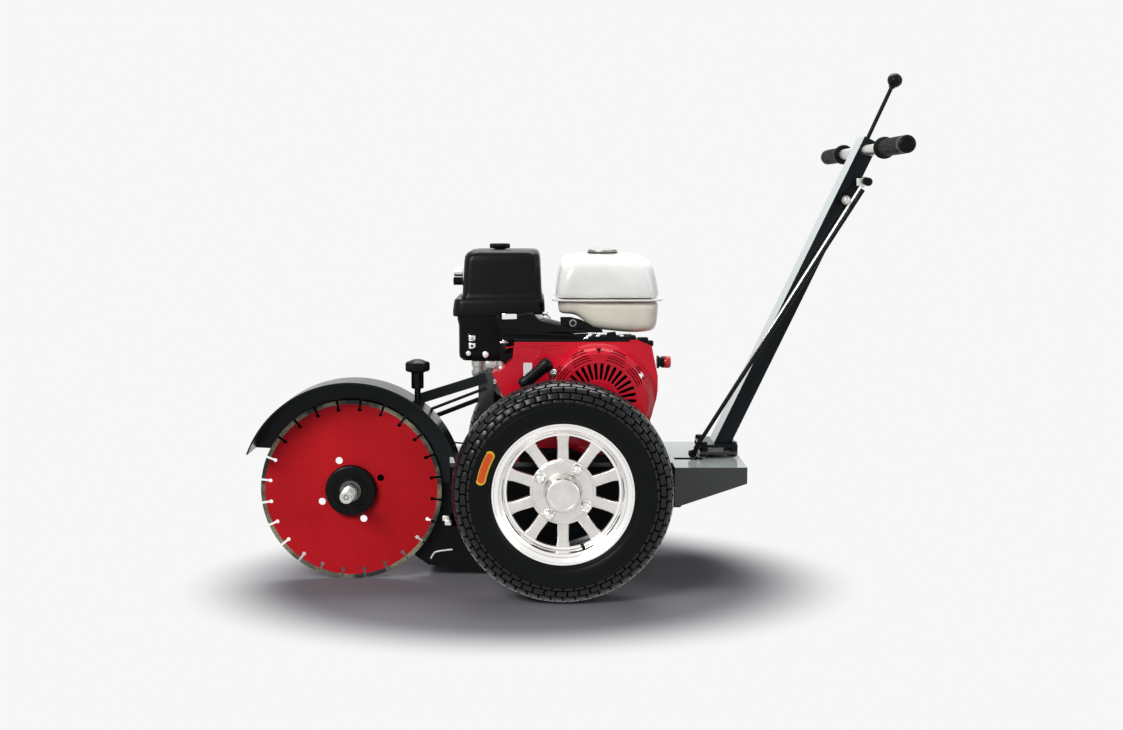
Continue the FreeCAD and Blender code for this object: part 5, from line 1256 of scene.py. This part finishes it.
def make_column_fittings():
    """Pivot bolt and clevis on the column, the black rod beside the bright one, and its lower joint."""
    pivot = Vector((0.5203, 0, 0.7452))
    pin = Vector((0.5598, 0, 0.7821))
    arm = Vector((0.2245, 0, 0.2391))
    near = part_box("clutch_lever")[0].y
    turned("pivot_washer", Vector((pivot.x, near - 0.2 * MM, pivot.z)),
           [(0, 0.4), (9, 0.4), (9, -1.4), (0, -1.4)], DULL_STEEL, "lever", 48)
    screw("pivot_bolt", (pivot.x / MM, near / MM - 1.5, pivot.z / MM), 12.5, 6.4, 0.25, STEEL, "lever")
    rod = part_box("control_rod")
    y = rod[0].y / MM
    direction = (pin - arm).normalized()
    a, b = arm + direction * 0.012, pin - direction * 0.016
    tube("black_rod", [(a.x / MM - 1.5, y - 3.6, a.z / MM + 1), (b.x / MM + 4, y - 3.6, b.z / MM - 3)], 4.2,
         BLACK, "rod")
    blocks("clevis", [((pin.x / MM - 17, y - 1.4, pin.z / MM - 9), (pin.x / MM + 3, y + 1, pin.z / MM + 6))],
           ZINC, "rod", 0.003)
    turned("clevis_cap", Vector((pin.x + 6 * MM, y * MM, pin.z - 1 * MM)),
           [(0, -4.4), (6.4, -4.4), (8.2, -3.2), (8.4, 1), (0, 1)], BLACK_PLASTIC, "rod", 40)
    turned("rod_low_cover", Vector((arm.x, y * MM, arm.z)),
           [(0, -2.4), (7.4, -2.4), (8.4, -1.4), (8.4, 1.6), (0, 1.6)], BLACK_PLASTIC, "rod", 40)
    rod_shape("rod_low_arm", (arm.x / MM + 2, y - 1, arm.z / MM - 2),
              (arm.x / MM + 17, y - 1, arm.z / MM + 34), [(0, 4.4), (0.1, 5), (0.9, 3.8), (1, 3)],
              BLACK, "rod", 24)


make_column_fittings()


def make_chassis_details():
    """Cream strip on the near plate as a painted highlight, a bright clip there, thin rods in the guard's
    gap, and the lump under the box.
    """
    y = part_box("side_plate_left")[0].y / MM
    # cream strip: a painted highlight on the near plate
    tube("plate_highlight_strip", [(-299, y - 1.4, 36), (-294, y - 1.4, 46), (-287, y - 1.6, 51), (-256, y - 1.6, 54)],
         1.8, CREAM, slot="")
    blocks("plate_clip", [((-276, y - 8, 112), (-260, y + 0.5, 124)),
                          ((-271, y - 11, 104), (-257, y - 3, 116))], ZINC, bevel=0.003)
    tube("gap_rod", [(-270, y + 8, 268), (-238, y + 8, 268), (-226, y + 20, 262)], 1.7, BLACK)
    tube("gap_rod_low", [(-282, y + 4, 206), (-243, y + 4, 205)], 1.7, BLACK)
    box_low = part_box("rear_box")[0]
    blocks("box_lump", [((box_low.x / MM - 6, box_low.y / MM + 4, box_low.z / MM - 4),
                         (box_low.x / MM + 14, box_low.y / MM + 34, box_low.z / MM + 8))],
           BLACK, bevel=0.004)


make_chassis_details()


def make_shroud_skin():
    """The shroud with its rear edge drawn in towards the bottom, as the round housing is."""
    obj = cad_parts["fan_shroud"]
    bm = bmesh.new()
    bm.from_mesh(obj.data)
    bm.transform(obj.matrix_world)
    for (x0, z0), (x1, z1) in (((150.5, 412), (148, 394)), ((148, 394), (143.5, 364)),
                               ((143.5, 364), (135, 334)), ((135, 334), (121, 304))):
        across = Vector((z0 - z1, 0, x1 - x0)).normalized()
        parts = bm.verts[:] + bm.edges[:] + bm.faces[:]
        cut = bmesh.ops.bisect_plane(bm, geom=parts, plane_co=(x0 * MM, 0, z0 * MM), plane_no=across,
                                     clear_outer=True)
        edges = [e for e in cut["geom_cut"] if isinstance(e, bmesh.types.BMEdge)]
        bmesh.ops.triangle_fill(bm, use_beauty=True, edges=edges)
    skin = finish_mesh("fan_shroud_skin", from_bmesh(bm), ENGINE_RED, smooth=30)
    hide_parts("fan_shroud")


make_shroud_skin()
low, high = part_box("stop_switch")
spot = Vector((low.x, (low.y + high.y) / 2, (low.z + high.z) / 2)) / MM
reach = (high.x - low.x) / MM
knob = rod_shape("switch_knob", spot + Vector((reach * 0.5, 0, 0)), spot + Vector((reach, 0, 0)),
                 [(0, 6), (0.02, 10.4), (0.2, 11.8), (0.72, 11.8), (0.9, 10.8), (1.0, 8.6)], RED_PLASTIC,
                 "switch")
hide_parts("stop_switch")
rod_shape("switch_collar", spot, spot + Vector((reach * 0.52, 0, 0)),
          [(0, 12.4), (0.3, 12.4), (0.34, 9.6), (0.6, 9.6), (0.64, 11.4), (1, 11.4)], BLACK_PLASTIC, "switch")

# ---------------------------------------------------------------- floor, light

BACKDROP = (0.93, 0.93, 0.93, 1)


def seen_plain(tree):
    """The light path node, and a value of 1 for the rays of the camera and of glossy surfaces."""
    path = add(tree, "LightPath")
    rays = {0: path.outputs["Is Camera Ray"], 1: path.outputs["Is Glossy Ray"]}
    return path, add(tree, "Math", sources=rays, operation="MAXIMUM").outputs["Value"]


def blend(tree, mask, first, second, output):
    """Mixes two shaders by a mask into the output."""
    both = add(tree, "MixShader", sources={"Fac": mask, 1: first, 2: second})
    tree.links.new(both.outputs["Shader"], tree.nodes[output].inputs["Surface"])


def make_floor():
    """A level floor, dark grey round the machine as a painted shadow besides the cast one, whose far parts
    fade to the plain backdrop.
    """
    mesh = bpy.data.meshes.new("floor")
    size = 14
    mesh.from_pydata([(-size, -size, 0), (size, -size, 0), (size, size, 0), (-size, size, 0)], [],
                     [(0, 1, 2, 3)])
    floor = bpy.data.objects.new("floor", mesh)
    bpy.context.scene.collection.objects.link(floor)
    mat, tree, shader = new_material("floor_painted_shadow", 0.9, specular=0.1)
    # dark grey near the machine, faded out in an oval below: painted shadow
    shader.inputs["Base Color"].default_value = (0.19, 0.186, 0.205, 1)
    plain = add(tree, "Emission", {"Color": BACKDROP, "Strength": 1.0})
    place = add(tree, "Mapping", {"Location": (0.12, 0.17, 0), "Scale": (1.0, 1.25, 1)},
                {"Vector": add(tree, "TexCoord").outputs["Object"]})
    length = add(tree, "VectorMath", sources={0: place.outputs["Vector"]}, operation="LENGTH")
    fade = add(tree, "MapRange", {"From Min": 0.42, "From Max": 0.68}, {"Value": length.outputs["Value"]},
               interpolation_type="SMOOTHSTEP")
    path, seen = seen_plain(tree)
    faded = add(tree, "Math", sources={0: fade.outputs["Result"], 1: seen}, operation="MULTIPLY")
    whole = add(tree, "Math", sources={0: faded.outputs["Value"], 1: path.outputs["Is Glossy Ray"]},
                operation="MAXIMUM")
    blend(tree, whole.outputs["Value"], shader.outputs["BSDF"], plain.outputs["Emission"], "Material Output")
    mesh.materials.append(mat)


def make_world():
    """Plain backdrop to the camera and to glossy surfaces, soft fill for the rest."""
    world = bpy.data.worlds.new("studio")
    bpy.context.scene.world = world
    world.use_nodes = True
    tree = world.node_tree
    fill = tree.nodes["Background"]
    fill.inputs["Color"].default_value = (0.95, 0.97, 1.0, 1)
    fill.inputs["Strength"].default_value = 0.3
    plain = add(tree, "Background", {"Color": BACKDROP})
    blend(tree, seen_plain(tree)[1], fill.outputs["Background"], plain.outputs["Background"], "World Output")


def area_light(name, place, target, size, power):
    """A white rectangular soft box turned towards its target."""
    data = bpy.data.lights.new(name, "AREA")
    data.shape = "RECTANGLE"
    data.size, data.size_y = size
    data.energy = power
    light = bpy.data.objects.new(name, data)
    bpy.context.scene.collection.objects.link(light)
    light.location = place
    light.rotation_euler = (Vector(target) - Vector(place)).to_track_quat("-Z", "Y").to_euler()


make_floor()
make_world()
area_light("key", (-1.8, -2.7, 2.3), (0, 0, 0.35), (1.6, 1.2), 84)
area_light("top", (0.1, 1.1, 3.1), (0, 0, 0.3), (2.6, 2.0), 105)
area_light("right", (2.6, -1.4, 1.5), (0, 0, 0.4), (1.4, 1.8), 14)
bpy.context.scene.view_settings.view_transform = "Standard"
